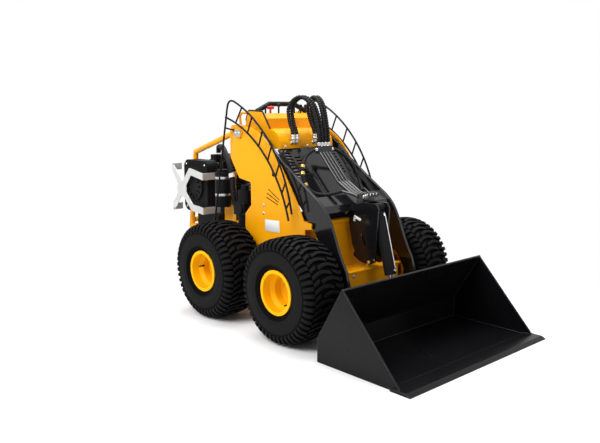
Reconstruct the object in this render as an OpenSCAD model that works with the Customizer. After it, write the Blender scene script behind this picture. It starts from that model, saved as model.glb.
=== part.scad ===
// Walk-behind mini loader: two plate towers, an air-cooled engine at the rear,
// a lift arm pinned at the tower tops and a tilting bucket. X forward, Y left, Z up.

/* [Wheels] */
// Distance between the axles
wheelbase = 628; // [600:1:720]
// Wheel centre plane from the centre line
wheel_y = 425; // [415:1:460]
// Tyre radius over the lugs
tyre_r = 272; // [262:1:276]
// Tyre section width
tyre_w = 262; // [240:1:266]
// Lug height
lug_h = 13; // [6:1:18]
// Lugs round one tyre
lug_count = 24; // [16:1:24]
// Bead seat radius of the rim
bead_r = 101.6; // [95:0.1:104]
// Rim width between the flanges
rim_w = 216; // [200:1:220]
// Axle stub radius
axle_r = 20; // [16:1:24]

/* [Bucket] */
// Width over the cutting edge
bucket_w = 1100; // [900:5:1200]
// Height of the back's top edge
bucket_h = 380; // [340:5:420]
// Back of the bucket, from the front axle
bucket_back = 300; // [300:1:330]
// Tip of the cutting edge, from the front axle
bucket_tip = 861; // [800:1:900]
// Sheet thickness
bucket_t = 8; // [5:1:12]

/* [Towers] */
// Outer face of a tower from the centre line
tower_y = 280; // [278:1:282]
// Top of a tower
tower_top = 1078; // [1070:1:1100]
// Rear end of a tower, from the front axle
tower_rear = -705; // [-715:1:-700]
// Tower and tub plate thickness
plate_t = 6; // [4:1:8]

/* [Arm] */
// Lift pivot, from the front axle
pivot_x = -610; // [-620:1:-600]
// Lift pivot height
pivot_z = 1030; // [1020:1:1040]
// Lift pin radius
pivot_r = 20; // [16:1:24]
// Bucket hinge, from the front axle
hinge_x = 275; // [270:1:278]
// Bucket hinge height
hinge_z = 70; // [66:1:90]
// Hinge pin radius
hinge_r = 12; // [10:1:14]
// Inner face of an arm from the centre line
arm_in = 215; // [212:1:218]
// Width of an arm over its hub
arm_w = 50; // [44:1:52]
// Thickness of an arm's plate
arm_plate = 16; // [10:1:20]

/* [Cylinders] */
// Lift barrel radius
lift_r = 26; // [22:1:27]
// Tilt barrel radius
tilt_r = 31; // [24:1:33]
// Piston rod radius
rod_r = 14; // [10:1:16]

/* [Rear] */
// Rear end of the hoop, from the front axle
rear_end = -1318; // [-1360:1:-1300]
// Hoop tube radius
hoop_r = 17; // [13:1:19]

/* [Hidden] */

$fn = 48;
paint = "orange";
black = "#1c1c1e";
steel = "silver";

// running clearance of pins and rods, gap between plain neighbours
fit = 0.05;
gap = 0.4;
// length of the cutters that pass right through a plate or an eye
through = 500;

// the front axle from the middle of the whole length
front_axle_x = -(rear_end + bucket_tip) / 2;
tub_y = 200;
wheel_at = [
    // name, axle x, side
    ["front_right", 0, -1],
    ["front_left", 0, 1],
    ["rear_right", -wheelbase, -1],
    ["rear_left", -wheelbase, 1]
];

function polar(c, r, a) = [c[0] + r * cos(a), c[1] + r * sin(a)];
function flatten(l) = [for (a = l) for (b = a) b];
function unit(v) = v / norm(v);

// stand the machine's front axle where the frame has it
module at_axle() {
    translate([front_axle_x, 0, 0]) children();
}

// side-view outline in X and Z, between two Y planes
module side(y0, y1) {
    translate([0, y1, 0]) rotate([90, 0, 0]) linear_extrude(y1 - y0) children();
}

module both() {
    children();
    mirror([0, 1, 0]) children();
}

// round bar between two points
module bar(a, b, r) {
    d = b - a;
    translate(a) rotate([0, acos(d[2] / norm(d)), atan2(d[1], d[0])]) cylinder(h = norm(d), r = r);
}

// bent round bar through points, with ball corners
module bent_bar(points, r) {
    for (i = [0 : len(points) - 2]) bar(points[i], points[i + 1], r);
    for (i = [1 : len(points) - 2]) translate(points[i]) sphere(r = r + 0.4);
}

// points along an arc in the XZ plane at y
function arc_points(y, c, radius, a0, a1, n) =
    [for (i = [0 : n]) let (p = polar(c, radius, a0 + (a1 - a0) * i / n)) [p[0], y, p[1]]];

// flexible tube through points: one closed skin with eight sides
function tangent(p, i) = unit(p[min(i + 1, len(p) - 1)] - p[max(i - 1, 0)]);
function ring(p, i, r, up) =
    let (t = tangent(p, i), u = unit(cross(t, up)), v = cross(u, t))
    [for (k = [0 : 7]) p[i] + r * (cos(45 * k) * u + sin(45 * k) * v)];
function smooth(p, n) = [
    for (i = [0 : len(p) - 2]) for (k = [0 : n - 1])
        let (t = k / n, a = p[max(i - 1, 0)], b = p[i], c = p[i + 1], d = p[min(i + 2, len(p) - 1)])
        0.5 * (2 * b + (c - a) * t + (2 * a - 5 * b + 4 * c - d) * t * t
            + (3 * b - a - 3 * c + d) * t * t * t),
    p[len(p) - 1]
];
module tube(points, r, up) {
    p = smooth(points, 2);
    n = len(p);
    polyhedron(
        flatten([for (i = [0 : n - 1]) ring(p, i, r, up)]),
        concat(
            [[for (k = [0 : 7]) k]],
            [for (i = [0 : n - 2]) for (k = [0 : 7])
                [8 * i + k, 8 * i + 8 + k, 8 * i + 8 + (k + 1) % 8, 8 * i + (k + 1) % 8]],
            [[for (k = [7 : -1 : 0]) 8 * (n - 1) + k]]
        )
    );
}

// Wheels
tyre_half = tyre_w / 2;
bead_s = rim_w / 2 - 8;
// across the tyre: place, radius under the lugs, carries lugs, turn of the lug row
tyre_rows = let (base = tyre_r - lug_h) [
    [-bead_s, bead_r + 0.8, 0, 0],
    [-tyre_half, base - 84, 0, 0],
    [-tyre_half + 6, base - 30, 0.6, 0],
    [-tyre_half + 22, base - 5, 1, 2],
    [-tyre_half * 0.34, base, 1, 7],
    [tyre_half * 0.34, base, 1, 7],
    [tyre_half - 22, base - 5, 1, 2],
    [tyre_half - 6, base - 30, 0.6, 0],
    [tyre_half, base - 84, 0, 0],
    [bead_s, bead_r + 0.8, 0, 0]
];

module tyre() {
    n = lug_count * 3;
    m = len(tyre_rows);
    points = [for (i = [0 : n - 1]) for (row = tyre_rows)
        let (a = 360 / n * i + row[3], r = row[1] + (i % 3 == 2 ? 0 : lug_h * row[2]))
        [r * cos(a), row[0], r * sin(a)]];
    faces = [for (i = [0 : n - 1]) for (j = [0 : m - 1])
        let (a = i * m + j, b = i * m + (j + 1) % m,
            c = (i + 1) % n * m + (j + 1) % m, d = (i + 1) % n * m + j)
        each [[a, b, c], [a, c, d]]];
    polyhedron(points, faces);
}

hub_r = 40;
hub_in = -95;
hub_out = 12;
rim_t = 4;
dish = 2;
// rim section: radius, place across the wheel (outer side positive)
module rim() {
    f = rim_w / 2;
    rotate([90, 0, 0]) mirror([0, 0, 1]) rotate_extrude($fn = 96) polygon([
        [bead_r + 13, -f - 6], [bead_r + 13, -f], [bead_r, -f], [bead_r, -f + 40],
        [bead_r - 16, -f + 60], [bead_r - 16, f - 60], [bead_r, f - 40], [bead_r, f],
        [bead_r + 13, f], [bead_r + 13, f + 6], [bead_r - rim_t, f + 6],
        [bead_r - rim_t, f - 40], [bead_r - 16 - rim_t, f - 60],
        [bead_r - 16 - rim_t, dish + 8], [hub_r + 14, dish], [hub_r, hub_out],
        [axle_r + fit, hub_out], [axle_r + fit, hub_in], [hub_r, hub_in],
        [hub_r, dish - 10], [bead_r - 16 - rim_t, dish - 2],
        [bead_r - 16 - rim_t, -f + 60], [bead_r - rim_t, -f + 40], [bead_r - rim_t, -f - 6]
    ]);
}

module wheel_place(w) {
    at_axle() translate([w[1], w[2] * wheel_y, tyre_r]) children();
}
module tyre_at(w) {
    color(black) wheel_place(w) mirror([0, w[2] < 0 ? 1 : 0, 0]) tyre();
}
module rim_at(w) {
    color(paint) wheel_place(w) mirror([0, w[2] < 0 ? 1 : 0, 0]) rim();
}

// Chassis
tub_front = 165;
tub_rear = -880;
tub_chamfer = 45;
tub_floor = 150;
tub_top = 480;
shelf_z = 350;
nose_foot = 35;
nose_front = -2;
nose_back = -110;
nose_top = 572;
nose_tube_r = 14;
post_knee = 745;
post_top = 800;
module tub_outline(t) {
    polygon([
        [tub_rear + t, tub_floor + t], [tub_front - tub_chamfer - t, tub_floor + t],
        [tub_front - t, tub_floor + tub_chamfer + t], [tub_front - t, shelf_z - t],
        [nose_foot - t, shelf_z - t],
        [nose_front - t, nose_top - t], [nose_back + t, nose_top - t],
        [nose_back - 90 + t, tub_top - t], [tub_rear + t, tub_top - t]
    ]);
}
module chassis_tub() {
    color(paint) at_axle() {
        difference() {
            side(-tub_y, tub_y) tub_outline(0);
            side(-tub_y + plate_t, tub_y - plate_t) tub_outline(plate_t);
            // open top behind the nose
            translate([-700, -tub_y + plate_t, tub_top - 20]) cube([480, 2 * (tub_y - plate_t), 60]);
        }
        // tube along the nose's top edge
        translate([nose_front, -tub_y, nose_top + nose_tube_r - 2]) rotate([-90, 0, 0])
            cylinder(h = 2 * tub_y, r = nose_tube_r);
        // posts behind the towers
        both() side(-tub_y, -tub_y + plate_t) polygon([
            [-868, tub_top - 10], [-862, post_knee], [-815, post_top], [-740, post_top],
            [-757, post_knee], [-757, tub_top - 10]
        ]);
        // flange across the nose
        translate([tub_front - 30, -tub_y, shelf_z - 9]) cube([44, 2 * tub_y, 9]);
        // axle stubs with their flanges
        for (w = wheel_at) translate([w[1], 0, tyre_r]) rotate([w[2] < 0 ? 90 : -90, 0, 0]) {
            translate([0, 0, tub_y - 1]) cylinder(h = wheel_y + hub_out + 1.5 - tub_y + 12, r = axle_r);
            translate([0, 0, tub_y - 1]) cylinder(h = wheel_y + hub_in - 2 - tub_y, r = hub_r + 20);
            translate([0, 0, wheel_y + hub_out + 0.6]) cylinder(h = 14, r = axle_r + 12, $fn = 6);
        }
    }
}

tower_foot = 345;
strip_x = -638;
strip_z = 812;
strip_rear_z = 891;
strip_turn = 8;
tower_outline = [
    [strip_x, strip_z], [strip_x, tower_top], [-511, 1067], [-450, 1044], [-400, 1018], [-354, 984],
    [-286, 910], [-228, 834], [-171, 755], [-115, 668], [-73, 591], [-14, 586], [-14, 556], [-64, 548],
    [-60, tower_foot], [-505, tower_foot], [-525, 430], [-562, 503], [-560, 581], [-507, 633],
    [-509, 762], [-613, 777]
];
// slanted slots: middle x, middle z, slope
tower_slots = [[-312, 710, -29], [-320, 692, -23], [-325, 673, -19]];
slot_len = 104;
slot_w = 7;
module tower() {
    w = (strip_x - tower_rear) / cos(strip_turn);
    difference() {
        side(-tower_y, -tower_y + plate_t) polygon(tower_outline);
        for (c = tower_slots) translate([c[0], -tower_y, c[1]]) rotate([0, -c[2], 0])
            cube([slot_len, 4 * plate_t, slot_w], center = true);
    }
    // rear strip, turned in a little
    translate([strip_x, -tower_y, 0]) rotate([0, 0, -strip_turn]) side(0, plate_t) polygon([
        [0.5, strip_z], [0.5, tower_top], [20 - w, tower_top - 4], [-w, tower_top - 28], [-w, strip_rear_z]
    ]);
    // floor between the tub and the plate
    translate([-417, -tower_y, tower_foot]) cube([350, tower_y - tub_y - gap, plate_t]);
    // rear closing strip
    translate([tower_rear, -tower_y + w * sin(strip_turn), strip_rear_z])
        cube([plate_t, tower_y - tub_y - w * sin(strip_turn), tower_top - 28 - strip_rear_z]);
    // inner plate that carries the lift pin
    side(-tub_y - plate_t, -tub_y) polygon([
        [tower_rear, 820], [tower_rear, tower_top - 28], [tower_rear + 20, tower_top - 2],
        [-560, 1060], [-470, 960], [-470, 800], [-560, 765]
    ]);
    // boss round the lift pin
    translate([pivot_x, -tower_y, pivot_z]) rotate([90, 0, 0]) cylinder(h = 6, r = pivot_r + 12);
}
module tower_right() {
    color(paint) at_axle() difference() {
        tower();
        translate([pivot_x, 0, pivot_z]) rotate([90, 0, 0]) cylinder(h = through, r = pivot_r + fit);
        translate([base_x, 0, base_z]) rotate([90, 0, 0]) cylinder(h = through, r = base_r + fit);
    }
}
module tower_left() {
    mirror([0, 1, 0]) tower_right();
}

// lift pins, and the lower pins of the lift cylinders
base_x = -460;
base_z = 385;
base_r = 14;
module lift_pins() {
    color(steel) at_axle() both() {
        translate([pivot_x, -tower_y - 8, pivot_z]) rotate([-90, 0, 0])
            cylinder(h = tower_y - tub_y + 8, r = pivot_r);
        // keeper plate
        translate([pivot_x - 28, -tower_y - 14.5, pivot_z - 18]) cube([56, 8, 36]);
        translate([base_x, -tower_y - 4, base_z]) rotate([-90, 0, 0])
            cylinder(h = tower_y - tub_y + 4 - gap, r = base_r);
    }
}

hood_y = 240;
console_foot = 950;
hood_top = [-352, console_foot - gap];
hood_foot = [-40, nose_top + 44];
hood_t = 12;
hood_dir = unit(hood_foot - hood_top);
hood_out = [-hood_dir[1], hood_dir[0]];
hood_len = norm(hood_foot - hood_top);
// louvre columns: place across, first louvre down the slope, count
louvres = [[-168, 30, 8], [-107, 60, 6], [107, 60, 6], [168, 30, 8]];
// down the slope from the hood's top edge, on its face
module on_hood() {
    translate([hood_top[0], 0, hood_top[1]]) rotate([0, atan2(-hood_dir[1], hood_dir[0]), 0]) children();
}
module hood() {
    color(black) at_axle() on_hood() difference() {
        union() {
            translate([0, -hood_y, -hood_t]) cube([hood_len, 2 * hood_y, hood_t]);
            // raised spine and side ribs
            translate([12, -70, -1]) cube([hood_len - 40, 140, 16]);
            for (y = [-hood_y, hood_y - 14]) translate([14, y, -1]) cube([hood_len - 14, 14, 11]);
            // foot on the nose
            translate([hood_len - 30, -hood_y, -hood_t - 22]) cube([12, 2 * hood_y, 30]);
        }
        // room for the arms' lugs
        for (y = [-hood_y - 1, hood_y - 31]) translate([-1, y, -50]) cube([41, 32, 100]);
        for (c = louvres, k = [0 : c[2] - 1])
            translate([c[1] + 22 * k, c[0] - 23, -hood_t - 1]) cube([10, 46, hood_t + 2]);
    }
}

console_y = tub_y - gap;
console_top = 1158;
console_rear = -650;
base_top = 1056;
box_top = console_top - 18;
front_r = 92;
front_x = -345;
module console() {
    color(paint) at_axle() {
        // base with a rounded front
        side(-console_y, console_y) {
            translate([console_rear, console_foot])
                square([front_x - front_r - console_rear, base_top - console_foot]);
            intersection() {
                translate([front_x - front_r, base_top - front_r]) circle(r = front_r);
                translate([front_x - front_r - 1, console_foot])
                    square([front_r + 2, base_top - console_foot]);
            }
            translate([front_x - front_r - 1, console_foot])
                square([front_r + 1, base_top - front_r - console_foot]);
        }
        // cheeks
        both() side(-console_y, -console_y + plate_t) polygon([
            [console_rear, base_top - 1], [console_rear, console_top - 55], [-628, console_top],
            [-502, console_top - 4], [-434, base_top - 1]
        ]);
        // instrument box between the cheeks
        side(-console_y + 1, console_y - 1) polygon([
            [-632, base_top - 1], [-632, box_top - 22], [-600, box_top], [-512, box_top],
            [-484, box_top - 27], [-478, base_top - 1]
        ]);
    }
}

grip_x = -565;
grip_r = 14;
grip_foot = [185, box_top + gap + 12.8];
grip_knee = [95, console_top + 35];
module grip_bar() {
    color(black) at_axle() bent_bar([
        [grip_x, -grip_foot[0], grip_foot[1]], [grip_x, -grip_knee[0], grip_knee[1]],
        [grip_x, grip_knee[0], grip_knee[1]], [grip_x, grip_foot[0], grip_foot[1]]
    ], grip_r);
}
// levers: place across, height of the ball
lever_x = -522;
lever_at = [[-158, 40], [-60, 46], [60, 46], [110, 40], [150, 40]];
module levers() {
    color(black) at_axle() for (c = lever_at) translate([lever_x, c[0], box_top + gap]) {
        cylinder(h = c[1], r = 5);
        translate([0, 0, c[1]]) sphere(r = 11);
    }
}
knob_x = -530;
module throttle_knob() {
    color("red") at_axle() translate([knob_x, -115, box_top + gap]) {
        cylinder(h = 30, r = 6);
        translate([0, -20, 32]) rotate([-90, 0, 0]) cylinder(h = 40, r = 9);
    }
}
loop_y = 210;
grab_r = 7;
grab_top = 1143;
module grab_loops() {
    color(paint) at_axle() both() bent_bar([
        [-692, -loop_y + grab_r, tower_top - 2 + gap], [-692, -loop_y, grab_top - 18],
        [-668, -loop_y, grab_top], [-640, -loop_y, grab_top], [-640, -console_y - gap, grab_top]
    ], grab_r);
}

// side guards: two bent rods joined by rungs
guard_y = 325;
guard_r = 6;
outer_c = [-873, 489];
outer_radius = 770;
inner_c = [-860, 398];
inner_radius = 745;
// rungs: angle on the outer rod, angle on the inner rod
rungs = [[63, 68], [55.5, 59], [47, 50], [39, 42], [31, 34], [23, 26.5], [15.5, 20]];
stub_a = 38;
module rod_piece(a, b, r) {
    hull() {
        translate(a) sphere(r = r, $fn = 8);
        translate(b) sphere(r = r, $fn = 8);
    }
}
module rod(points, r) {
    for (i = [0 : len(points) - 2]) rod_piece(points[i], points[i + 1], r);
}
module guard_right() {
    color(black) at_axle() {
        y = -guard_y;
        rod(concat(arc_points(y, outer_c, outer_radius, 10.5, 69, 9),
            [[-624, y, 1212], [-646, y, 1200], [-657, y, 1172], [-796, y, 505]]), guard_r);
        rod(arc_points(y, inner_c, inner_radius, 15, 75.5, 9), guard_r);
        for (a = rungs) {
            p = polar(outer_c, outer_radius, a[0]);
            q = polar(inner_c, inner_radius, a[1]);
            rod_piece([p[0], y, p[1]], [q[0], y, q[1]], guard_r - 1);
        }
        // stubs to the tower
        s = polar(inner_c, inner_radius, stub_a);
        rod_piece([s[0], y, s[1]], [s[0] - 40, -tower_y - guard_r + 1, s[1] - 40], guard_r - 1);
        rod_piece([-680, y, 1060], [-660, -tower_y - guard_r + 1, 1045], guard_r - 1);
    }
}
module guard_left() {
    mirror([0, 1, 0]) guard_right();
}

// Engine and rear hoop
hoop_y = 150;
hoop_low = 400;
hoop_knee = 890;
// how far the hoop's legs lean forward from foot to knee, and the tie bar's height on them
hoop_lean = 66;
tie_up = 40;
module rear_hoop() {
    color(paint) at_axle() {
        x = rear_end + hoop_r + 0.4;
        both() bent_bar([
            [tower_rear - 6.2, -tower_y + 42, 1030], [x + hoop_lean, -hoop_y, hoop_knee],
            [x, -hoop_y, hoop_low], [tub_rear - gap, -hoop_y, hoop_low]
        ], hoop_r);
    }
}
module rear_tie_bar() {
    y = hoop_y - hoop_r - gap;
    x = rear_end + hoop_r + hoop_lean * tie_up / (hoop_knee - hoop_low);
    color(paint) at_axle() bar([x, -y, hoop_low + tie_up], [x, y, hoop_low + tie_up], hoop_r);
}
tray_z = hoop_low + hoop_r;
tray_t = 8;
tray_y = 190;
module engine_tray() {
    color(paint) at_axle() translate([-1240, -tray_y, tray_z]) cube([340, 2 * tray_y, tray_t]);
}
engine_z = tray_z + tray_t;
module rounded(w, h, r) {
    square([w - 2 * r, h], center = true);
    square([w, h - 2 * r], center = true);
    for (x = [r - w / 2, w / 2 - r], y = [r - h / 2, h / 2 - r]) translate([x, y]) circle(r = r);
}
engine_y = 170;
engine_x = [-1200, -900];
case_h = 215;
pot_x = [-1125, -985];
fin_n = 11;
fin_gap = 18;
fin_t = 7;
filler_at = [-1058, -120];
module engine_block() {
    color(black) at_axle() {
        // crankcase
        translate([engine_x[0], -engine_y, engine_z])
            cube([engine_x[1] - engine_x[0], 2 * engine_y, case_h]);
        translate([engine_x[0] - 25, 0, engine_z + 120]) rotate([0, 90, 0]) cylinder(h = 40, r = 95);
        // two finned cylinders with rocker covers
        for (x = pot_x) translate([x, 0, engine_z + case_h - 1]) {
            cylinder(h = fin_n * fin_gap + 10, r = 50);
            for (k = [0 : fin_n - 1]) translate([0, 0, 6 + fin_gap * k])
                linear_extrude(fin_t) rounded(128, 200, 18);
            translate([0, 0, fin_n * fin_gap + 2]) linear_extrude(34) rounded(112, 170, 22);
        }
        // filler neck with its cap
        translate([filler_at[0], filler_at[1], engine_z + case_h - 1]) cylinder(h = 185, r = 13);
        translate([filler_at[0], filler_at[1], engine_z + case_h + 180]) cylinder(h = 60, r = 17);
        // starter motor
        translate([engine_x[1] - 46, -engine_y - 30, engine_z + 70]) rotate([0, 90, 0])
            cylinder(h = 58, r = 38);
        // silencer on the far side
        translate([engine_x[0] + 30, engine_y + 35, engine_z + 120]) rotate([0, 90, 0])
            cylinder(h = 240, r = 62);
    }
}
fan_y = -engine_y - gap;
fan_x = -1090;
fan_z = 689;
fan_size = [250, 322];
fan_depth = 86;
rib_len = 46;
module engine_fan_housing() {
    color(black) at_axle() translate([fan_x, fan_y, fan_z]) rotate([90, 0, 0]) difference() {
        union() {
            linear_extrude(fan_depth) rounded(fan_size[0], fan_size[1], 46);
            cylinder(h = fan_depth + 16, r = 88);
        }
        // ring of slots in the starter cover
        for (a = [0 : 30 : 330]) rotate(a) translate([46, -5, fan_depth + 4]) cube([34, 10, 20]);
        // ribs down the housing's face
        for (y = [-fan_size[1] / 2 - 1, fan_size[1] / 2 + 1 - rib_len], x = [-112 : 16 : 112])
            translate([x - 3, y, fan_depth - 4]) cube([6, rib_len, 10]);
    }
}
// bright guard: a hub with four arms, bent in at their ends
guard_hub = [-1180, 668];
guard_face = -297;
strap_w = 42;
strap_t = 3;
strap_front = -951;
strap_rear = -1284;
// straps: knee x, knee z, end z, end x
straps = [
    [-1085, 782, 758, strap_front],
    [-1070, 560, 548, strap_front],
    [-1250, 770, 800, strap_rear],
    [-1250, 575, 545, strap_rear]
];
module strap(a, b) {
    d = b - a;
    translate(a) rotate(atan2(d[1], d[0])) translate([0, -strap_w / 2]) square([norm(d), strap_w]);
    translate(a) circle(d = strap_w + 1);
}
module engine_guard() {
    color(steel) at_axle() {
        side(guard_face - strap_t, guard_face) intersection() {
            union() {
                translate(guard_hub) circle(r = 50);
                for (c = straps) {
                    strap(guard_hub, [c[0], c[1]]);
                    strap([c[0], c[1]], [c[3], c[2]]);
                }
            }
            translate([strap_rear, 500]) square([strap_front - strap_rear, 340]);
        }
        // ends bent in: the front ones reach the crankcase, the rear ones wrap the housing
        for (c = straps) {
            front = c[3] == strap_front;
            translate([c[3] - (front ? strap_t : 0), guard_face - strap_t, c[2] - strap_w / 2])
                cube([strap_t, front ? fan_y - guard_face + strap_t : 70, strap_w]);
        }
    }
}
canister_x = -810;
canister_y = -253;
canister_r = 46;
canister_z = 590;
canister_h = 205;
module air_canister() {
    color(black) at_axle() {
        translate([canister_x, canister_y, canister_z]) cylinder(h = canister_h, r = canister_r);
        translate([canister_x, canister_y, canister_z + canister_h - 5])
            cylinder(h = 22, r = canister_r - 12);
        // foot on the post
        translate([canister_x - 20, canister_y, canister_z + 50])
            cube([40, -tub_y - gap - canister_y, 90]);
    }
}
intake_r = 17;
module intake_hose() {
    color(black) at_axle() tube([
        [-1125, -50, engine_z + case_h + fin_n * fin_gap + 36], [-1124, -51, 900], [-1105, -62, 922],
        [-1030, -96, 928], [-940, -148, 922], [-858, -192, 896], [-786, -224, 852], [-738, -237, 775],
        [-723, -237, 650], [-720, -205, 550], [-720, -180, 505], [-720, -178, tub_top + 1]
    ], intake_r, [1, 1, 0]);
}
pump_x = -636;
pump_y = -222;
pump_z = 500;
pump_h = 200;
module hydraulic_pump() {
    color(black) at_axle() {
        translate([pump_x, pump_y, pump_z]) cylinder(h = pump_h, r = 42);
        translate([pump_x - 50, pump_y - 46, pump_z + 60]) cube([100, 92, 70]);
        translate([pump_x, pump_y, pump_z + pump_h - 10]) cylinder(h = 40, r = 24);
        // round boss that faces out
        translate([pump_x + 12, pump_y - 30, pump_z + 96]) rotate([90, 0, 0]) cylinder(h = 28, r = 28);
        // foot on the tub
        translate([pump_x - 36, pump_y, tub_top - 60]) cube([72, -tub_y - gap - pump_y, 100]);
    }
}

// Hoses that loop from the console to the arm's clamp: y at the console, y at the clamp
loop_r = 11.5;
loop_at = [[-120, -36], [-92, -12], [44, 12], [72, 36]];
clamp_x = -215;
clamp_z = 965;
// along one hose: x, height, share of the way across
loop_route = [
    [front_x + 1.5 + loop_r, 1000, 0], [front_x + 9, 1040, 0], [-366, 1100, 0.05], [-384, 1165, 0.15],
    [-362, 1214, 0.35], [-315, 1230, 0.55], [-266, 1194, 0.8], [-236, 1120, 0.95], [clamp_x - 2, 1030, 1],
    [clamp_x, clamp_z + 1, 1]
];
module hose_loops() {
    color(black) at_axle() for (c = loop_at)
        tube([for (p = loop_route) [p[0], c[0] + (c[1] - c[0]) * p[2], p[1]]], loop_r, [0, 1, 0]);
}

// Lift arm
arm_out = arm_in + arm_w;
arm_upper = [
    [-590, 1072], [-440, 1030], [-358, 972], [-270, 898], [-118, 793], [-30, 736], [20, 704], [52, 677],
    [78, 648], [100, 612], [123, 566], [159, 479], [192, 412], [216, 372], [238, 300], [264, 150],
    [hinge_x + 6, hinge_z + hinge_r + 6]
];
arm_lower = [
    [hinge_x - 14, hinge_z - 14], [205, 220], [165, 310], [95, 405], [-20, 560], [-110, 655],
    [-260, 800], [-450, 930], [-600, 988]
];
eye_a = -50;
eye_arm = 250;
eye = [pivot_x + eye_arm * cos(eye_a), pivot_z + eye_arm * sin(eye_a)];
eye_r = 24;
hub_arm_r = 42;
module arm_right() {
    color(black) at_axle() difference() {
        union() {
            side(-arm_out, -arm_out + arm_plate) polygon(concat(arm_upper, arm_lower));
            // hub on the lift pin, foot on the hinge pin
            translate([pivot_x, -arm_out, pivot_z]) rotate([-90, 0, 0])
                cylinder(h = arm_w, r = hub_arm_r);
            translate([hinge_x, -arm_out, hinge_z]) rotate([-90, 0, 0])
                cylinder(h = arm_w, r = hinge_r + 8);
            // spacer and lug for the lift cylinder
            side(-arm_out + 1, -arm_in) polygon([
                [eye[0] - 70, eye[1] + 150], [eye[0] - 50, eye[1] + 112], [eye[0], eye[1] + 97],
                [eye[0] + 58, eye[1] + 58], [eye[0] + 72, eye[1] + 110], [eye[0] + 30, eye[1] + 160]
            ]);
            side(-arm_in - 12, -arm_in) polygon([
                [eye[0] - 60, eye[1] + 130], [eye[0] - 24, eye[1] - 10], [eye[0] + 24, eye[1] - 10],
                [eye[0] + 70, eye[1] + 80]
            ]);
        }
        translate([pivot_x, 0, pivot_z]) rotate([90, 0, 0]) cylinder(h = through, r = pivot_r + fit);
        translate([hinge_x, 0, hinge_z]) rotate([90, 0, 0]) cylinder(h = through, r = hinge_r + fit);
    }
}
module arm_left() {
    mirror([0, 1, 0]) arm_right();
}
cheek_y = 46;
cheek_t = 8;
cheek_slot = 60;
tilt_top = [190, 665];
tilt_pin_r = 13;
module arm_bridge() {
    color(black) at_axle() difference() {
        union() {
            // cross panel between the arms' plates
            side(-arm_out + arm_plate, arm_out - arm_plate) polygon([
                [-60, 690], [-14, 642], [12, 608], [40, 608], [58, 642], [40, 676], [-30, 716]
            ]);
            // cheeks with a scalloped rear edge
            both() side(-cheek_y, -cheek_y + cheek_t) polygon([
                [14, 660], [120, 690], [215, 690], [232, 665], [214, 384], [170, 366], [108, 376],
                [62, 402], [70, 428], [52, 462], [34, 546], [28, 610]
            ]);
            translate([tilt_top[0], -cheek_y, tilt_top[1]]) rotate([-90, 0, 0])
                cylinder(h = 2 * cheek_y, r = tilt_pin_r);
        }
        // slot through the cheeks
        translate([132, 0, 494]) rotate([0, 66, 0]) {
            cube([cheek_slot, 200, 20], center = true);
            for (x = [-0.5, 0.5] * cheek_slot) translate([x, 100, 0]) rotate([90, 0, 0])
                cylinder(h = 200, r = 10);
        }
    }
}
pipe_y = [-36, -12, 12, 36];
pipe_r = 8;
couple_x = 84;
couple_z = 690 + gap;
module arm_pipes() {
    color(steel) at_axle() {
        for (y = pipe_y) bent_bar([
            [clamp_x, y, clamp_z - 20], [-60, y, 778], [30, y, 728], [couple_x + 10, y, 716]
        ], pipe_r);
        // clamp block, and the block that holds the couplings
        translate([clamp_x - 17, -50, clamp_z - 40]) cube([34, 100, 40]);
        translate([couple_x, -46, couple_z]) cube([40, 92, 40]);
        for (y = pipe_y) translate([couple_x + 30, y, couple_z + 22]) rotate([0, 70, 0])
            cylinder(h = 46, r = 10);
    }
}
// hoses that ring out to both sides, from the clamp to the couplings: x, y, z
ring_r = 9;
ring_route = [
    [clamp_x, 51, clamp_z - 20], [clamp_x + 2, 85, clamp_z - 22], [-205, 140, 915], [-180, 188, 865],
    [-158, 206, 815], [-135, 205, 768], [-98, 186, 732], [-55, 150, 722], [-12, 112, 732], [10, 84, 742]
];
module arm_hoses() {
    color(black) at_axle() for (s = [-1, 1])
        tube([for (p = ring_route) [p[0], s * p[1], p[2]]], ring_r, [0, 0, 1]);
}

// Bucket and its hitch
side_half = bucket_w / 2 - 11.4;
knee_z = 118;
bucket_top_x = bucket_back + 156;
module bucket_shell() {
    color(black) at_axle() {
        side(-side_half, side_half) polygon([
            [bucket_back, 0], [bucket_tip - 60, 0], [bucket_tip - 60, bucket_t],
            [bucket_back + bucket_t, bucket_t], [bucket_back + bucket_t, knee_z - 2],
            [bucket_top_x + bucket_t, bucket_h - 4], [bucket_top_x, bucket_h], [bucket_back, knee_z]
        ]);
        // cutting edge
        side(-bucket_w / 2, bucket_w / 2) polygon([
            [bucket_tip - 110, 0], [bucket_tip, 0], [bucket_tip, 4], [bucket_tip - 24, 14],
            [bucket_tip - 110, 14]
        ]);
        both() side(-side_half, -side_half + bucket_t) polygon([
            [bucket_back, 0], [bucket_tip - 55, 0], [bucket_top_x, bucket_h], [bucket_back, knee_z]
        ]);
        // ribs up the back
        n = [back_dir[1], -back_dir[0]];
        foot = [bucket_back, knee_z] + back_dir * 205;
        head = [bucket_back, knee_z] + back_dir * 290;
        both() for (y = [120, 190]) side(-y - 5, -y + 5) polygon([foot, head, foot - n * 34]);
    }
}
back_dir = unit([bucket_top_x - bucket_back, bucket_h - knee_z]);
hitch_t = 10;
tilt_eye = [306, 247];
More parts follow.
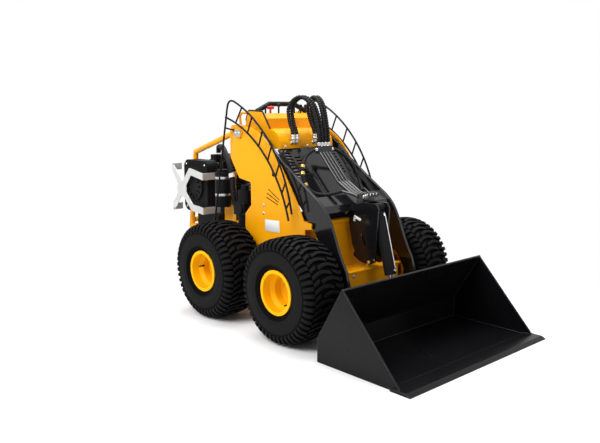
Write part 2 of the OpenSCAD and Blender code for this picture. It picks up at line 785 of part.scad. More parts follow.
module hitch() {
    color(black) at_axle() difference() {
        union() {
            b = [bucket_back, knee_z] + back_dir * 200;
            n = [back_dir[1], -back_dir[0]];
            difference() {
                side(-arm_out - 14, arm_out + 14) polygon([
                    [bucket_back, 30], [bucket_back, knee_z], b, b - n * hitch_t,
                    [bucket_back - hitch_t, knee_z + 3], [bucket_back - hitch_t, 30]
                ]);
                translate([0, -60, 130]) cube([600, 120, 110]);
                // room for the arms' feet
                both() translate([0, -arm_out - 5, 0]) cube([600, arm_w + 10, hinge_z + 90]);
            }
            // ears either side of each arm's foot
            both() for (y = [-arm_in + 5, -arm_out - 15]) side(y, y + 10) polygon([
                [bucket_back, 40], [hinge_x - 18, 46], [hinge_x - 24, hinge_z + 10],
                [hinge_x - 10, 130], [bucket_back + 2, 150], [bucket_back + 12, 140], [bucket_back, knee_z]
            ]);
            // ears for the tilt rod
            both() side(-44, -34) polygon([
                tilt_eye + [-24, 0], tilt_eye + [-10, 24], tilt_eye + [20, 24],
                [bucket_back + 80, 262], [bucket_back + 2, 132], [hinge_x + 8, 160]
            ]);
        }
        translate([hinge_x, -through, hinge_z]) rotate([-90, 0, 0])
            cylinder(h = 2 * through, r = hinge_r + fit);
    }
}
module hinge_pins() {
    color(steel) at_axle() both() translate([hinge_x, -arm_out - 18, hinge_z]) rotate([-90, 0, 0])
        cylinder(h = arm_w + 36, r = hinge_r);
}

// Cylinders
lift_y = 244;
lift_vec = eye - [base_x, base_z];
lift_len = norm(lift_vec);
lift_lean = atan2(lift_vec[0], lift_vec[1]);
barrel_end = 390;
module lift_place(side) {
    at_axle() translate([base_x, side * lift_y, base_z]) rotate([0, lift_lean, 0]) children();
}
module lift_barrel(side) {
    color(black) lift_place(side) difference() {
        union() {
            translate([0, 0, 24]) cylinder(h = barrel_end - 24, r = lift_r);
            translate([0, 20, 0]) rotate([90, 0, 0]) cylinder(h = 40, r = base_r + 12);
        }
        translate([0, through / 2, 0]) rotate([90, 0, 0]) cylinder(h = through, r = base_r + fit);
        translate([0, 0, 40]) cylinder(h = barrel_end, r = rod_r + fit);
    }
}
module lift_rod(side) {
    color(steel) lift_place(side) {
        translate([0, 0, 75]) cylinder(h = lift_len - 75 - eye_r + 6, r = rod_r);
        translate([0, 14, lift_len]) rotate([90, 0, 0]) cylinder(h = 28, r = eye_r);
    }
}

tilt_vec = tilt_eye - tilt_top;
tilt_len = norm(tilt_vec);
tilt_lean = atan2(tilt_vec[0], tilt_vec[1]);
tilt_barrel_end = 350;
module tilt_place() {
    at_axle() translate([tilt_top[0], 0, tilt_top[1]]) rotate([0, tilt_lean, 0]) children();
}
module tilt_barrel() {
    color(black) tilt_place() difference() {
        union() {
            translate([0, 0, 22]) cylinder(h = tilt_barrel_end - 22, r = tilt_r);
            translate([0, 24, 0]) rotate([90, 0, 0]) cylinder(h = 48, r = tilt_pin_r + 12);
        }
        translate([0, through / 2, 0]) rotate([90, 0, 0]) cylinder(h = through, r = tilt_pin_r + fit);
        translate([0, 0, 18]) cylinder(h = tilt_barrel_end, r = rod_r + fit);
    }
}
module tilt_rod() {
    color(steel) tilt_place() {
        translate([0, 0, 62]) cylinder(h = tilt_len - 62 - 16, r = rod_r);
        translate([0, 20, tilt_len]) rotate([90, 0, 0]) cylinder(h = 40, r = 22);
    }
}

chassis_tub();
tower_right();
tower_left();
hood();
console();
grip_bar();
levers();
throttle_knob();
grab_loops();
guard_right();
guard_left();
lift_pins();
rear_hoop();
rear_tie_bar();
engine_tray();
engine_block();
engine_fan_housing();
engine_guard();
air_canister();
intake_hose();
hydraulic_pump();
hose_loops();
arm_right();
arm_left();
arm_bridge();
arm_pipes();
arm_hoses();
bucket_shell();
hitch();
hinge_pins();
lift_barrel(-1);  // lift_barrel_right
lift_barrel(1);  // lift_barrel_left
lift_rod(-1);  // lift_rod_right
lift_rod(1);  // lift_rod_left
tilt_barrel();
tilt_rod();
for (w = wheel_at) {
    tyre_at(w);
    rim_at(w);
}
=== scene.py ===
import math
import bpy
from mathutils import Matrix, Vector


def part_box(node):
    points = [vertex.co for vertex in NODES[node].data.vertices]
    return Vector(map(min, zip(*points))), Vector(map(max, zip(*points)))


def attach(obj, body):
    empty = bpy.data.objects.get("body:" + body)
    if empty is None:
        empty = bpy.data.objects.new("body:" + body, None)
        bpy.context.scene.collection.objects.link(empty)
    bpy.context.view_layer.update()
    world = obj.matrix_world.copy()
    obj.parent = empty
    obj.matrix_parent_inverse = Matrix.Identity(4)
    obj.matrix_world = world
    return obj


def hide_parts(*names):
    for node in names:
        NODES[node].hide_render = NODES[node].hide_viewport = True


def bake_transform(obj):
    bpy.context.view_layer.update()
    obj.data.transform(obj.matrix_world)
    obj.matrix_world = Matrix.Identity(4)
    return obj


bl_info = {
    "name": "Walk-behind loader looks",
    "version": (1, 0, 0),
    "blender": (4, 5, 0),
    "location": "View3D > Sidebar > Loader",
    "description": "Tyres, hoses, guards, fittings and finishes for a walk-behind mini loader",
    "category": "Object",
}

import bmesh
import bpy
from bpy.props import FloatProperty, FloatVectorProperty, IntProperty, PointerProperty
from mathutils import Matrix, Vector

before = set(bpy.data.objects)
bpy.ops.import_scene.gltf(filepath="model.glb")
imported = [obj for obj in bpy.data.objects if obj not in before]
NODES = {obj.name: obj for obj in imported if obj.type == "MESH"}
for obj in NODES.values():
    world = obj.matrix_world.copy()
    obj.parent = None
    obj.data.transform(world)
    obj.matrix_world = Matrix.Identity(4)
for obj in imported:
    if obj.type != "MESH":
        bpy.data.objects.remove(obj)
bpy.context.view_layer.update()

MM = 0.001
UP = Vector((0, 0, 1))
SIDES = (("right", -1), ("left", 1))
WHEELS = ["front_right", "front_left", "rear_right", "rear_left"]
# the front axle on the ground, which places along the machine are given from
AXLE_X = sum(corner.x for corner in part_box("rim_front_right")) / 2


def colour(name, description, value):
    return FloatVectorProperty(
        name=name, description=description, subtype="COLOR", size=3, min=0, max=1, default=value
    )


def length(name, description, millimetres):
    return FloatProperty(
        name=name, description=description, unit="LENGTH", subtype="DISTANCE",
        default=millimetres * MM, min=0, precision=4,
    )


class LoaderColours(bpy.types.PropertyGroup):
    """Colours of the finishes"""

    paint: colour("Paint", "Golden yellow of the chassis", (0.82, 0.34, 0.003))
    rim: colour("Rim", "Lemon yellow of the rims", (0.84, 0.42, 0.003))
    black_paint: colour("Black paint", "Paint of the arm, hood and bucket", (0.006, 0.006, 0.007))
    engine: colour("Engine black", "Satin black of the engine and guards", (0.01, 0.01, 0.011))
    rubber: colour("Rubber", "Tyre rubber", (0.009, 0.009, 0.0095))
    # this black also colours the dark sheets that paint shade in the towers' slots
    hose: colour("Hose", "Hose covers and foam grip", (0.009, 0.009, 0.01))
    steel: colour("Steel", "Bright steel plate and fittings", (0.6, 0.6, 0.59))
    zinc: colour("Zinc", "Yellow zinc plating of the fittings", (0.66, 0.45, 0.13))
    knob: colour("Knob", "Red of the throttle knob", (0.6, 0.02, 0.015))
    plate: colour("Plate", "Blank plates", (0.72, 0.72, 0.7))


class LoaderSizes(bpy.types.PropertyGroup):
    """Sizes of the added pieces"""

    lugs: IntProperty(name="Lugs", description="Lugs round one tyre", default=24, min=12, max=40)
    lug_height: length("Lug height", "Height of a tyre lug", 13)
    guard_rod: length("Guard rod", "Radius of the guards' rods", 5.5)
    hose: length("Hose", "Radius of the hoses that loop to the arm", 11.5)
    ring_hose: length("Ring hose", "Radius of the hoses that ring out beside the clamp", 10.5)
    intake: length("Intake hose", "Radius of the engine's intake hose", 17)
    rib_pitch: length("Rib pitch", "Pitch of the ribs along a hose's sleeve", 14)


def colours():
    return bpy.context.scene.loader_colours


def sizes():
    return bpy.context.scene.loader_sizes


def at(x, y, z):
    """A point given in millimetres from the front axle on the ground."""
    return Vector((x * MM + AXLE_X, y * MM, z * MM))


def on_side(route, side):
    """Points given as x, distance from the middle and height, on one side of the machine."""
    return [at(x, side * y, z) for x, y, z in route]


# Shader node groups

# the part of the noise that is spread over the whole of 0 to 1
NOISE_SPAN = (0.3, 0.7)
# cosine between the rounded normal and the face's own, from no lightening of the edge colour to full
# lightening, which paints wear and highlight
WEAR_AND_HIGHLIGHT_SPAN = (0.995, 0.8)
EDGE_RADIUS = 3 * MM
GRAIN_DEPTH = 0.6 * MM
COAT_ROUGHNESS = 0.08


def new_group(name, inputs, outputs):
    """An empty node group, with float inputs."""
    group = bpy.data.node_groups.new(name, "ShaderNodeTree")
    for socket, value in inputs:
        made = group.interface.new_socket(name=socket, in_out="INPUT", socket_type="NodeSocketFloat")
        made.default_value = value
    for socket, kind in outputs:
        group.interface.new_socket(name=socket, in_out="OUTPUT", socket_type=kind)
    start = group.nodes.new("NodeGroupInput")
    end = group.nodes.new("NodeGroupOutput")
    return group, start, end


def ranged(tree, value, low=0.0, high=1.0, span=(0.0, 1.0)):
    """A socket that goes from low to high while a value crosses a span."""
    node = tree.nodes.new("ShaderNodeMapRange")
    for socket, number in zip(("From Min", "From Max", "To Min", "To Max"), (*span, low, high)):
        node.inputs[socket].default_value = number
    tree.links.new(value, node.inputs["Value"])
    return node.outputs["Result"]


def mottle_group():
    """Slow cloudiness and a fine grain, both on the piece's own coordinates."""
    group, start, end = new_group(
        "Mottle",
        [("Cloud scale", 4.0), ("Grain scale", 300.0)],
        [("Cloud", "NodeSocketFloat"), ("Grain", "NodeSocketFloat")],
    )
    place = group.nodes.new("ShaderNodeTexCoord")
    for socket, detail in (("Cloud", 5.0), ("Grain", 2.0)):
        noise = group.nodes.new("ShaderNodeTexNoise")
        noise.inputs["Detail"].default_value = detail
        group.links.new(place.outputs["Object"], noise.inputs["Vector"])
        group.links.new(start.outputs[socket + " scale"], noise.inputs["Scale"])
        group.links.new(ranged(group, noise.outputs["Fac"], span=NOISE_SPAN), end.inputs[socket])
    return group


def edge_group():
    """A mask of the outer edges, and a normal that rounds them."""
    group, start, end = new_group(
        "Edge", [("Radius", EDGE_RADIUS)], [("Mask", "NodeSocketFloat"), ("Normal", "NodeSocketVector")]
    )
    bevel = group.nodes.new("ShaderNodeBevel")
    bevel.samples = 6
    geometry = group.nodes.new("ShaderNodeNewGeometry")
    along = group.nodes.new("ShaderNodeVectorMath")
    along.operation = "DOT_PRODUCT"
    group.links.new(start.outputs["Radius"], bevel.inputs["Radius"])
    group.links.new(bevel.outputs["Normal"], along.inputs[0])
    group.links.new(geometry.outputs["Normal"], along.inputs[1])
    group.links.new(ranged(group, along.outputs["Value"], span=WEAR_AND_HIGHLIGHT_SPAN), end.inputs["Mask"])
    group.links.new(bevel.outputs["Normal"], end.inputs["Normal"])
    return group


def place_group(tree, name, build, values):
    """A node that holds a shared group, which is built at its first use."""
    node = tree.nodes.new("ShaderNodeGroup")
    node.node_tree = bpy.data.node_groups.get(name) or build()
    for socket, value in values.items():
        node.inputs[socket].default_value = value
    return node


def blend_colours(tree, factor, first, second):
    """A Mix node between two colours, each a value or a socket."""
    mix = tree.nodes.new("ShaderNodeMix")
    mix.data_type = "RGBA"
    tree.links.new(factor, mix.inputs["Factor"])
    for socket, value in (("A", first), ("B", second)):
        target = next(i for i in mix.inputs if i.name == socket and i.type == "RGBA")
        if isinstance(value, bpy.types.NodeSocket):
            tree.links.new(value, target)
        else:
            target.default_value = (*value, 1)
    return next(o for o in mix.outputs if o.type == "RGBA")


# Finishes


def finish(name, base, metallic=0.0, rough=(0.4, 0.5), clouds=4.0, grain=300.0, bump=0.1,
           shade=0.85, edge=EDGE_RADIUS, wear_and_highlight=0.2, coat=0.0, shine=0.5, wear_and_highlight_colour=None):
    """A procedural finish: cloudy colour, fine grain, uneven gloss, rounded edges lightened in colour as
    slight wear and painted highlight.
    """
    material = bpy.data.materials.get(name)
    if material:
        return material
    material = bpy.data.materials.new(name)
    material.use_nodes = True
    tree = material.node_tree
    shader = tree.nodes["Principled BSDF"]
    shader.inputs["Metallic"].default_value = metallic
    shader.inputs["Specular IOR Level"].default_value = shine
    shader.inputs["Coat Weight"].default_value = coat
    shader.inputs["Coat Roughness"].default_value = COAT_ROUGHNESS
    mottle = place_group(tree, "Mottle", mottle_group, {"Cloud scale": clouds, "Grain scale": grain})
    dark = [c * shade for c in base]
    tone = blend_colours(tree, mottle.outputs["Cloud"], dark, base)
    relief = tree.nodes.new("ShaderNodeBump")
    relief.inputs["Strength"].default_value = bump
    relief.inputs["Distance"].default_value = GRAIN_DEPTH
    tree.links.new(mottle.outputs["Grain"], relief.inputs["Height"])
    if edge:
        edges = place_group(tree, "Edge", edge_group, {"Radius": edge})
        # the edges' colour is lightened: slight wear, and painted highlight along them
        lighter = wear_and_highlight_colour or [min(1, c * 1.5 + 0.01) for c in base]
        tone = blend_colours(tree, ranged(tree, edges.outputs["Mask"], 0, wear_and_highlight), tone, lighter)
        tree.links.new(edges.outputs["Normal"], relief.inputs["Normal"])
    tree.links.new(tone, shader.inputs["Base Color"])
    tree.links.new(ranged(tree, mottle.outputs["Cloud"], *rough), shader.inputs["Roughness"])
    tree.links.new(relief.outputs["Normal"], shader.inputs["Normal"])
    return material


def yellow_paint():
    return finish(
        "golden_paint", colours().paint, rough=(0.28, 0.36), clouds=3, grain=420, bump=0.02,
        shade=0.97, wear_and_highlight=0.1, coat=0.02, shine=0.15,
    )


def rim_paint():
    return finish(
        "rim_paint", colours().rim, rough=(0.3, 0.4), clouds=3, grain=420, bump=0.02,
        shade=0.97, wear_and_highlight=0.1, shine=0.06,
    )


def black_paint():
    return finish(
        "black_paint", colours().black_paint, rough=(0.1, 0.16), clouds=2, grain=420, bump=0.012,
        shade=0.9, wear_and_highlight=0.25, shine=0.45,
    )


def bucket_paint():
    """Black paint that is dulled by use, with its edges painted grey as worn steel and as painted
    highlight.
    """
    dulled = [c * 0.6 for c in colours().black_paint]
    return finish(
        "bucket_paint", dulled, rough=(0.2, 0.28), clouds=2, grain=420, bump=0.015,
        # grey edges: worn steel, and painted highlight along the bucket's plates
        shade=0.9, edge=4 * MM, wear_and_highlight=0.7, shine=0.14, wear_and_highlight_colour=(0.09, 0.09, 0.095),
    )


def pipe_paint():
    return finish(
        "pipe_paint", colours().black_paint, rough=(0.14, 0.2), clouds=2, grain=420, bump=0.01,
        shade=0.9, edge=0, shine=0.45,
    )


def engine_black():
    return finish(
        "satin_black", colours().engine, rough=(0.36, 0.48), clouds=9, grain=700, bump=0.15,
        shade=0.8, edge=2 * MM, shine=0.06,
    )


def tyre_rubber():
    return finish(
        "tread_rubber", colours().rubber, rough=(0.52, 0.66), clouds=7, grain=900, bump=0.12,
        edge=0, shine=0.04,
    )


def painted_groove_shade():
    """Tyre rubber darkened to a quarter, as painted shade between the bars of the tread."""
    shaded = [c * 0.25 for c in colours().rubber]
    return finish("painted_groove_shade", shaded, rough=(0.7, 0.8), clouds=7, grain=900, edge=0, shine=0.04)


def hose_rubber():
    return finish(
        "hose_rubber", colours().hose, rough=(0.4, 0.55), clouds=12, grain=1400, bump=0.3,
        shade=0.7, edge=0, shine=0.14,
    )


def bright_steel():
    return finish(
        "plain_steel", colours().steel, metallic=1, rough=(0.2, 0.36), clouds=8, grain=900, bump=0.05,
        shade=0.9,
    )


def plated_steel():
    return finish(
        "plated_steel", colours().steel, metallic=0.4, rough=(0.3, 0.42), clouds=8, grain=900, bump=0.05,
        shade=0.94,
    )


def chrome():
    return finish(
        "chrome", colours().steel, metallic=1, rough=(0.06, 0.12), clouds=8, grain=900, bump=0.01,
        shade=0.95, edge=0,
    )


def zinc():
    return finish(
        "yellow_zinc", colours().zinc, metallic=1, rough=(0.25, 0.4), clouds=30, grain=900, bump=0.08,
        shade=0.75,
    )


def red_plastic():
    return finish(
        "red_plastic", colours().knob, rough=(0.3, 0.4), clouds=20, grain=900, bump=0.03, shade=0.9
    )


def blank_plate():
    return finish(
        "blank_plate", colours().plate, rough=(0.3, 0.45), clouds=14, grain=900, bump=0.02, shade=0.92
    )


# Pieces

MERGE_DISTANCE = 0.001 * MM
# steps between two points of a smooth route
CURVE_STEPS = 12
# share of a rib's depth that is cut away at each quarter of its pitch
RIB_PROFILE = (1, 0.3, 0, 0.3)


def to_mesh(bm, name, turned_out=False):
    """A mesh whose faces point outwards, found anew unless they are already turned out."""
    bmesh.ops.remove_doubles(bm, verts=bm.verts, dist=MERGE_DISTANCE)
    if not turned_out:
        bmesh.ops.recalc_face_normals(bm, faces=bm.faces)
    mesh = bpy.data.meshes.new(name)
    bm.to_mesh(mesh)
    bm.free()
    return mesh


def add_piece(name, mesh, material, body, smooth_angle=35):
    """Links a mesh as a piece, which rides on a body if one is given."""
    piece = bpy.data.objects.new(name, mesh)
    bpy.context.scene.collection.objects.link(piece)
    mesh.materials.append(material)
    mesh.shade_smooth()
    mesh.set_sharp_from_angle(angle=math.radians(smooth_angle))
    if body:
        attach(piece, body)
    return piece


def smooth_route(points, step):
    """Points a step apart along a smooth curve through the given ones."""
    fine = []
    ends = [2 * points[0] - points[1], *points, 2 * points[-1] - points[-2]]
    for a, b, c, d in zip(ends, ends[1:], ends[2:], ends[3:]):
        for k in range(CURVE_STEPS):
            t = k / CURVE_STEPS
            square = 2 * a - 5 * b + 4 * c - d
            cube = 3 * b - a - 3 * c + d
            fine.append(0.5 * (2 * b + (c - a) * t + square * t**2 + cube * t**3))
    fine.append(points[-1])
    return spaced(fine, step)


def spaced(points, step):
    """Points about a step apart along a polyline."""
    total = sum((b - a).length for a, b in zip(points, points[1:]))
    count = max(1, round(total / step))
    out = [points[0]]
    walked = 0.0
    for a, b in zip(points, points[1:]):
        run = (b - a).length
        while len(out) < count and walked + run >= total * len(out) / count:
            out.append(a.lerp(b, (total * len(out) / count - walked) / run))
        walked += run
    out.append(points[-1])
    return out


def round_corners(points, radius, steps=4):
    """A polyline with its corners rounded."""
    out = [points[0]]
    for before, corner, after in zip(points, points[1:], points[2:]):
        back = before - corner
        ahead = after - corner
        cut = min(radius, back.length * 0.45, ahead.length * 0.45)
        first = corner + back.normalized() * cut
        last = corner + ahead.normalized() * cut
        for k in range(steps + 1):
            t = k / steps
            out.append(first * (1 - t) ** 2 + corner * 2 * t * (1 - t) + last * t**2)
    out.append(points[-1])
    return out


def along_route(points):
    """A turn and place at each point of a route, with Z along it and no twist between neighbours."""
    before = points[:1] + points[:-1]
    after = points[1:] + points[-1:]
    normal = (after[0] - before[0]).orthogonal()
    places = []
    for place, a, b in zip(points, before, after):
        along = (b - a).normalized()
        normal = (normal - along * normal.dot(along)).normalized()
        turn = Matrix((normal, along.cross(normal), along)).transposed().to_4x4()
        places.append(Matrix.Translation(place) @ turn)
    return places


def sweep(bm, points, radii, sides=12):
    """A round tube through points, with its own radius at each of them."""
    places = [place @ Matrix.Diagonal((r, r, r, 1)) for place, r in zip(along_route(points), radii)]
    circle = bmesh.ops.create_circle(bm, cap_ends=True, segments=sides, radius=1, matrix=places[0])
    cap = circle["verts"][0].link_faces[0]
    for here, there in zip(places, places[1:]):
        # with its edges in, the cap moves on and leaves no wall inside the tube
        pulled = bmesh.ops.extrude_face_region(bm, geom=[cap, *cap.edges])
        cap = next(item for item in pulled["geom"] if isinstance(item, bmesh.types.BMFace))
        bmesh.ops.transform(bm, matrix=there @ here.inverted(), verts=cap.verts)


def add_rod(bm, points, radius, sides=12):
    sweep(bm, points, [radius] * len(points), sides)


def add_ribbed_hose(bm, points, radius, pitch, depth):
    """A hose with a ribbed sleeve that swells to the radius."""
    quarters = len(RIB_PROFILE)
    route = smooth_route(points, pitch / quarters)
    sweep(bm, route, [radius - depth * RIB_PROFILE[k % quarters] for k in range(len(route))])


def add_lathe(bm, profile, place, direction, segments=20):
    """A turned piece from pairs of radius and height, along a direction from a place."""
    axis = Vector(direction).normalized()
    out = axis.orthogonal().normalized()
    verts = [bm.verts.new(place + out * radius + axis * height) for radius, height in profile]
    edges = [bm.edges.new(pair) for pair in zip(verts, verts[1:])]
    bmesh.ops.spin(
        bm, geom=verts + edges, cent=place, axis=axis, angle=math.tau, steps=segments, use_merge=True
    )


def add_sleeve(bm, place, direction, radius, height, lip=0.0):
    """A short sleeve with softened rims and, if asked, a lip at its foot."""
    soft = min(radius, height) * 0.12
    wide = radius + lip
    lip_top = height * 0.3
    profile = [
        (0, 0), (wide - soft, 0), (wide, soft), (wide, lip_top),
        (radius, lip_top + lip), (radius, height - soft), (radius - soft, height), (0, height),
    ]
    add_lathe(bm, profile, place, direction)


def soften(bm, edges, offset, segments):
    bmesh.ops.bevel(
        bm, geom=edges, offset=offset, offset_type="OFFSET", segments=segments,
        profile=0.5, affect="EDGES", material=-1,
    )


def add_block(bm, size, place, soft, slope):
    """A block about a place, with softened edges, turned round Y by a slope in radians."""
    cube = bmesh.ops.create_cube(bm, size=1)
    turn = Matrix.Rotation(slope, 4, "Y")
    matrix = Matrix.Translation(place) @ turn @ Matrix.Diagonal((*size, 1))
    bmesh.ops.transform(bm, matrix=matrix, verts=cube["verts"])
    edges = {e for v in cube["verts"] for e in v.link_edges}
    soften(bm, list(edges), soft, 2)


def add_bolt(bm, place, direction, radius, height):
    """A hexagon head on a washer."""
    washer_height = height * 0.3
    head_height = height * 0.8
    turn = direction.to_track_quat("Z", "Y").to_matrix().to_4x4()
    foot = Matrix.Translation(place) @ turn
    bmesh.ops.create_cone(
        bm, cap_ends=True, segments=20, radius1=radius * 1.5, radius2=radius * 1.45,
        depth=washer_height, matrix=foot @ Matrix.Translation(UP * washer_height / 2),
    )
    head = bmesh.ops.create_cone(
        bm, cap_ends=True, segments=6, radius1=radius, radius2=radius,
        depth=head_height, matrix=foot @ Matrix.Translation(UP * (height - head_height / 2)),
    )
    faces = {f for v in head["verts"] for f in v.link_faces}
    top = max(faces, key=lambda f: (f.calc_center_median() - place).dot(direction))
    soften(bm, list(top.edges), radius * 0.14, 1)


# Tyres

# across the crown: share of the half width, drop of the carcass below the crown
CROWN = [
    (0.0, 0.0), (0.35, 0.001), (0.62, 0.004), (0.82, 0.011), (0.93, 0.025), (0.985, 0.05), (1.0, 0.085)
]
# the carcass's crown takes this share of the width that the bars follow
CARCASS_SHARE = 0.97
# top of the sidewall: share of the half width, drop below the crown
WALL_TOP = (0.985, 0.1)
# down the sidewall: share of the half width, height above the bead
WALL = [(0.968, 0.05), (0.982, 0.047), (0.98, 0.042), (0.95, 0.039), (0.9, 0.026)]
# at the rim: share of the bead's half width, height above the bead
BEAD = [(1.06, 0.016), (1.0, 0.001)]
BEAD_RADIUS = 102.4 * MM
BEAD_HALF = 100 * MM
CARCASS_STEPS = 96
TYRE_SMOOTH = 40

# bars of one pitch: start and end across the tyre, turn at the start and at the end, bow, width; the last
# four are in pitches
TREAD_BARS = [
    (-0.965, -0.70, 0.00, 0.03, 0.00, 0.28),
    (-0.965, -0.70, 0.50, 0.53, 0.00, 0.28),
    (0.70, 0.965, 0.28, 0.25, 0.00, 0.28),
    (0.70, 0.965, 0.78, 0.75, 0.00, 0.28),
    (-0.67, 0.28, 0.34, 0.22, -0.26, 0.25),
    (-0.67, -0.38, 0.84, 0.59, -0.02, 0.25),
    (-0.28, 0.67, 0.72, 0.84, -0.26, 0.25),
    (0.38, 0.67, 0.09, 0.34, -0.02, 0.25),
]
BAR_STEPS = 7
BAR_SOFT = 1.6 * MM
# the foot of a bar: its depth in the carcass, and its width and reach across as shares of the top's
FOOT_DEPTH = 12 * MM
FOOT_WIDTH = 1.15
FOOT_REACH = 0.95
# past this share of the half width a bar loses height, up to this share of it at the tyre's side
SHOULDER = 0.84
SHOULDER_LOSS = 0.35
# room between the bars and the frame's box
TREAD_ROOM = 0.5 * MM
# the floor of the tread, painted darker as shade between the bars: share of the half width, height over
# the carcass
GROOVE_SHARE = 0.93
GROOVE_HEIGHT = 3 * MM


def tyre_middle(wheel):
    """A tyre's middle, radius and half width."""
    low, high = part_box("tyre_" + wheel)
    return (low + high) / 2, (high.z - low.z) / 2, (high.y - low.y) / 2


def crown_drop(share):
    """Drop of the carcass below the crown, at a share of the half width."""
    share = min(abs(share), 1.0)
    for (a, low), (b, high) in zip(CROWN, CROWN[1:]):
        if share <= b:
            return low + (high - low) * (share - a) / (b - a)


def tread_bar(bm, bar, crown, half, pitch, height):
    """One bar of the tread, wrapped over the crown."""
    start, end, turn_a, turn_b, bow, width = bar
    grid = bmesh.ops.create_grid(bm, x_segments=BAR_STEPS, y_segments=1, size=0.5)
    faces = {f for v in grid["verts"] for f in v.link_faces}
    sunk = bmesh.ops.extrude_face_region(bm, geom=list(faces))
    base = {v for v in sunk["geom"] if isinstance(v, bmesh.types.BMVert)}
    top = set(grid["verts"])
    for vert in top | base:
        lift, spread, reach = (height, 1, 1) if vert in top else (-FOOT_DEPTH, FOOT_WIDTH, FOOT_REACH)
        u = vert.co.x + 0.5
        across = start + (end - start) * u
        turn = turn_a + (turn_b - turn_a) * u + bow * math.sin(math.pi * u)
        angle = (turn + width * spread * vert.co.y) * pitch
        slope = min(1, max(0, (abs(across) - SHOULDER) / (1 - SHOULDER)))
        radius = crown - crown_drop(across) + lift * (1 - SHOULDER_LOSS * slope)
        vert.co = (radius * math.sin(angle), across * half * reach, radius * math.cos(angle))
    shell = list({f for v in top | base for f in v.link_faces})
    crest = [f for f in shell if set(f.verts) <= top]
    bmesh.ops.recalc_face_normals(bm, faces=shell)
    if crest[0].normal.dot(crest[0].calc_center_median()) < 0:
        bmesh.ops.reverse_faces(bm, faces=shell)
    rim = [e for f in crest for e in f.edges if not set(e.link_faces) <= set(crest)]
    soften(bm, rim, BAR_SOFT, 1)


def carcass(bm, crown, half):
    """The smooth carcass, spun round Y."""
    bars = set(bm.faces)
    outer = [(half * CARCASS_SHARE * share, crown - drop) for share, drop in CROWN]
    outer.append((half * WALL_TOP[0], crown - WALL_TOP[1]))
    outer += [(half * share, BEAD_RADIUS + up) for share, up in WALL]
    outer += [(BEAD_HALF * share, BEAD_RADIUS + up) for share, up in BEAD]
    section = [(-y, r) for y, r in reversed(outer[1:])] + outer
    verts = [bm.verts.new((0, y, r)) for y, r in section]
    edges = [bm.edges.new(pair) for pair in zip(verts, verts[1:] + verts[:1])]
    bmesh.ops.spin(
        bm, geom=verts + edges, cent=(0, 0, 0), axis=(0, 1, 0), angle=math.tau, steps=CARCASS_STEPS,
        use_merge=True,
    )
    bmesh.ops.recalc_face_normals(bm, faces=[f for f in bm.faces if f not in bars])


def paint_groove_shade(mesh, middle, crown, half):
    """Paints shade on the floor of the tread, between the bars, with a darker rubber."""
    mesh.materials.append(painted_groove_shade())
    for face in mesh.polygons:
        place = face.center - middle
        height = math.hypot(place.x, place.z) - crown + crown_drop(place.y / half)
        if abs(place.y) < half * GROOVE_SHARE and height < GROOVE_HEIGHT:
            face.material_index = 1


class LOADER_OT_tyres(bpy.types.Operator):
    """Four tyres with shoulder lugs and curved tread bars"""

    bl_idname = "loader.tyres"
    bl_label = "Tyres"

    def execute(self, context):
        lugs = sizes().lugs
        height = sizes().lug_height
        pitch = math.tau / lugs
        for wheel in WHEELS:
            middle, radius, half = tyre_middle(wheel)
            crown = radius - height - TREAD_ROOM
            bm = bmesh.new()
            for bar in TREAD_BARS:
                tread_bar(bm, bar, crown, half, pitch, height)
            bmesh.ops.spin(
                bm, geom=[*bm.verts, *bm.edges, *bm.faces], cent=(0, 0, 0), axis=(0, 1, 0),
                angle=math.tau - pitch, steps=lugs - 1, use_duplicate=True,
            )
            carcass(bm, crown, half)
            bmesh.ops.translate(bm, verts=bm.verts, vec=middle)
            mesh = to_mesh(bm, "tyre_skin", turned_out=True)
            body = "wheel_" + wheel
            piece = add_piece("tyre_skin_" + wheel, mesh, tyre_rubber(), body, TYRE_SMOOTH)
            # the floor between the bars gets painted shade
            paint_groove_shade(mesh, middle, crown, half)
            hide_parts("tyre_" + wheel)
        return {"FINISHED"}


# valve stems: turn on each rim in degrees, circle they stand on, share of the half width at the foot
VALVE_TURNS = (-62, -62, 172, 172)
VALVE_CIRCLE = 72 * MM
VALVE_SHARE = 0.38
STEM_RADIUS = 4 * MM
STEM_LENGTH = 34 * MM


class LOADER_OT_valves(bpy.types.Operator):
    """A valve stem inside each rim"""

    bl_idname = "loader.valves"
    bl_label = "Valve stems"

    def execute(self, context):
        for wheel, degrees in zip(WHEELS, VALVE_TURNS):
            middle, _, half = tyre_middle(wheel)
            out = dict(SIDES)[wheel.split("_")[1]]
            turn = math.radians(degrees)
            spoke = Vector((math.cos(turn), 0, math.sin(turn))) * VALVE_CIRCLE
            foot = middle + spoke + Vector((0, out * half * VALVE_SHARE, 0))
            bm = bmesh.new()
            add_sleeve(bm, foot, (0, out, 0), STEM_RADIUS, STEM_LENGTH, STEM_RADIUS / 2)
            add_piece("valve_" + wheel, to_mesh(bm, "valve"), hose_rubber(), "wheel_" + wheel)
        return {"FINISHED"}


# Guards

GUARD_Y = 325
# middle x and z and radius of the guards' two arcs, with the angles they run between
OUTER_ARC = (-873, 489, 770, 10.5, 69)
INNER_ARC = (-860, 398, 745, 15, 75.5)
ARC_STEPS = 40
# from the outer arc's end over the top and down to the rear: x, z
GUARD_BEND = [(-624, 1212), (-646, 1200), (-657, 1172), (-796, 505)]
BEND_RADIUS = 20 * MM
# rungs: angle on the outer arc, angle on the inner arc
RUNGS = [(63, 68), (55.5, 59), (47, 50), (39, 42), (31, 34), (23, 26.5), (15.5, 20)]
# rungs and stubs are thinner than the long rods
RUNG_SHARE = 0.85
# the boss round the lift pin stands this far out of a tower's plate
TOWER_BOSS = 6
# the front stub leaves the inner arc at an angle and falls to the tower
STUB_ANGLE = 38
STUB_FALL = (-40, 0, -40)
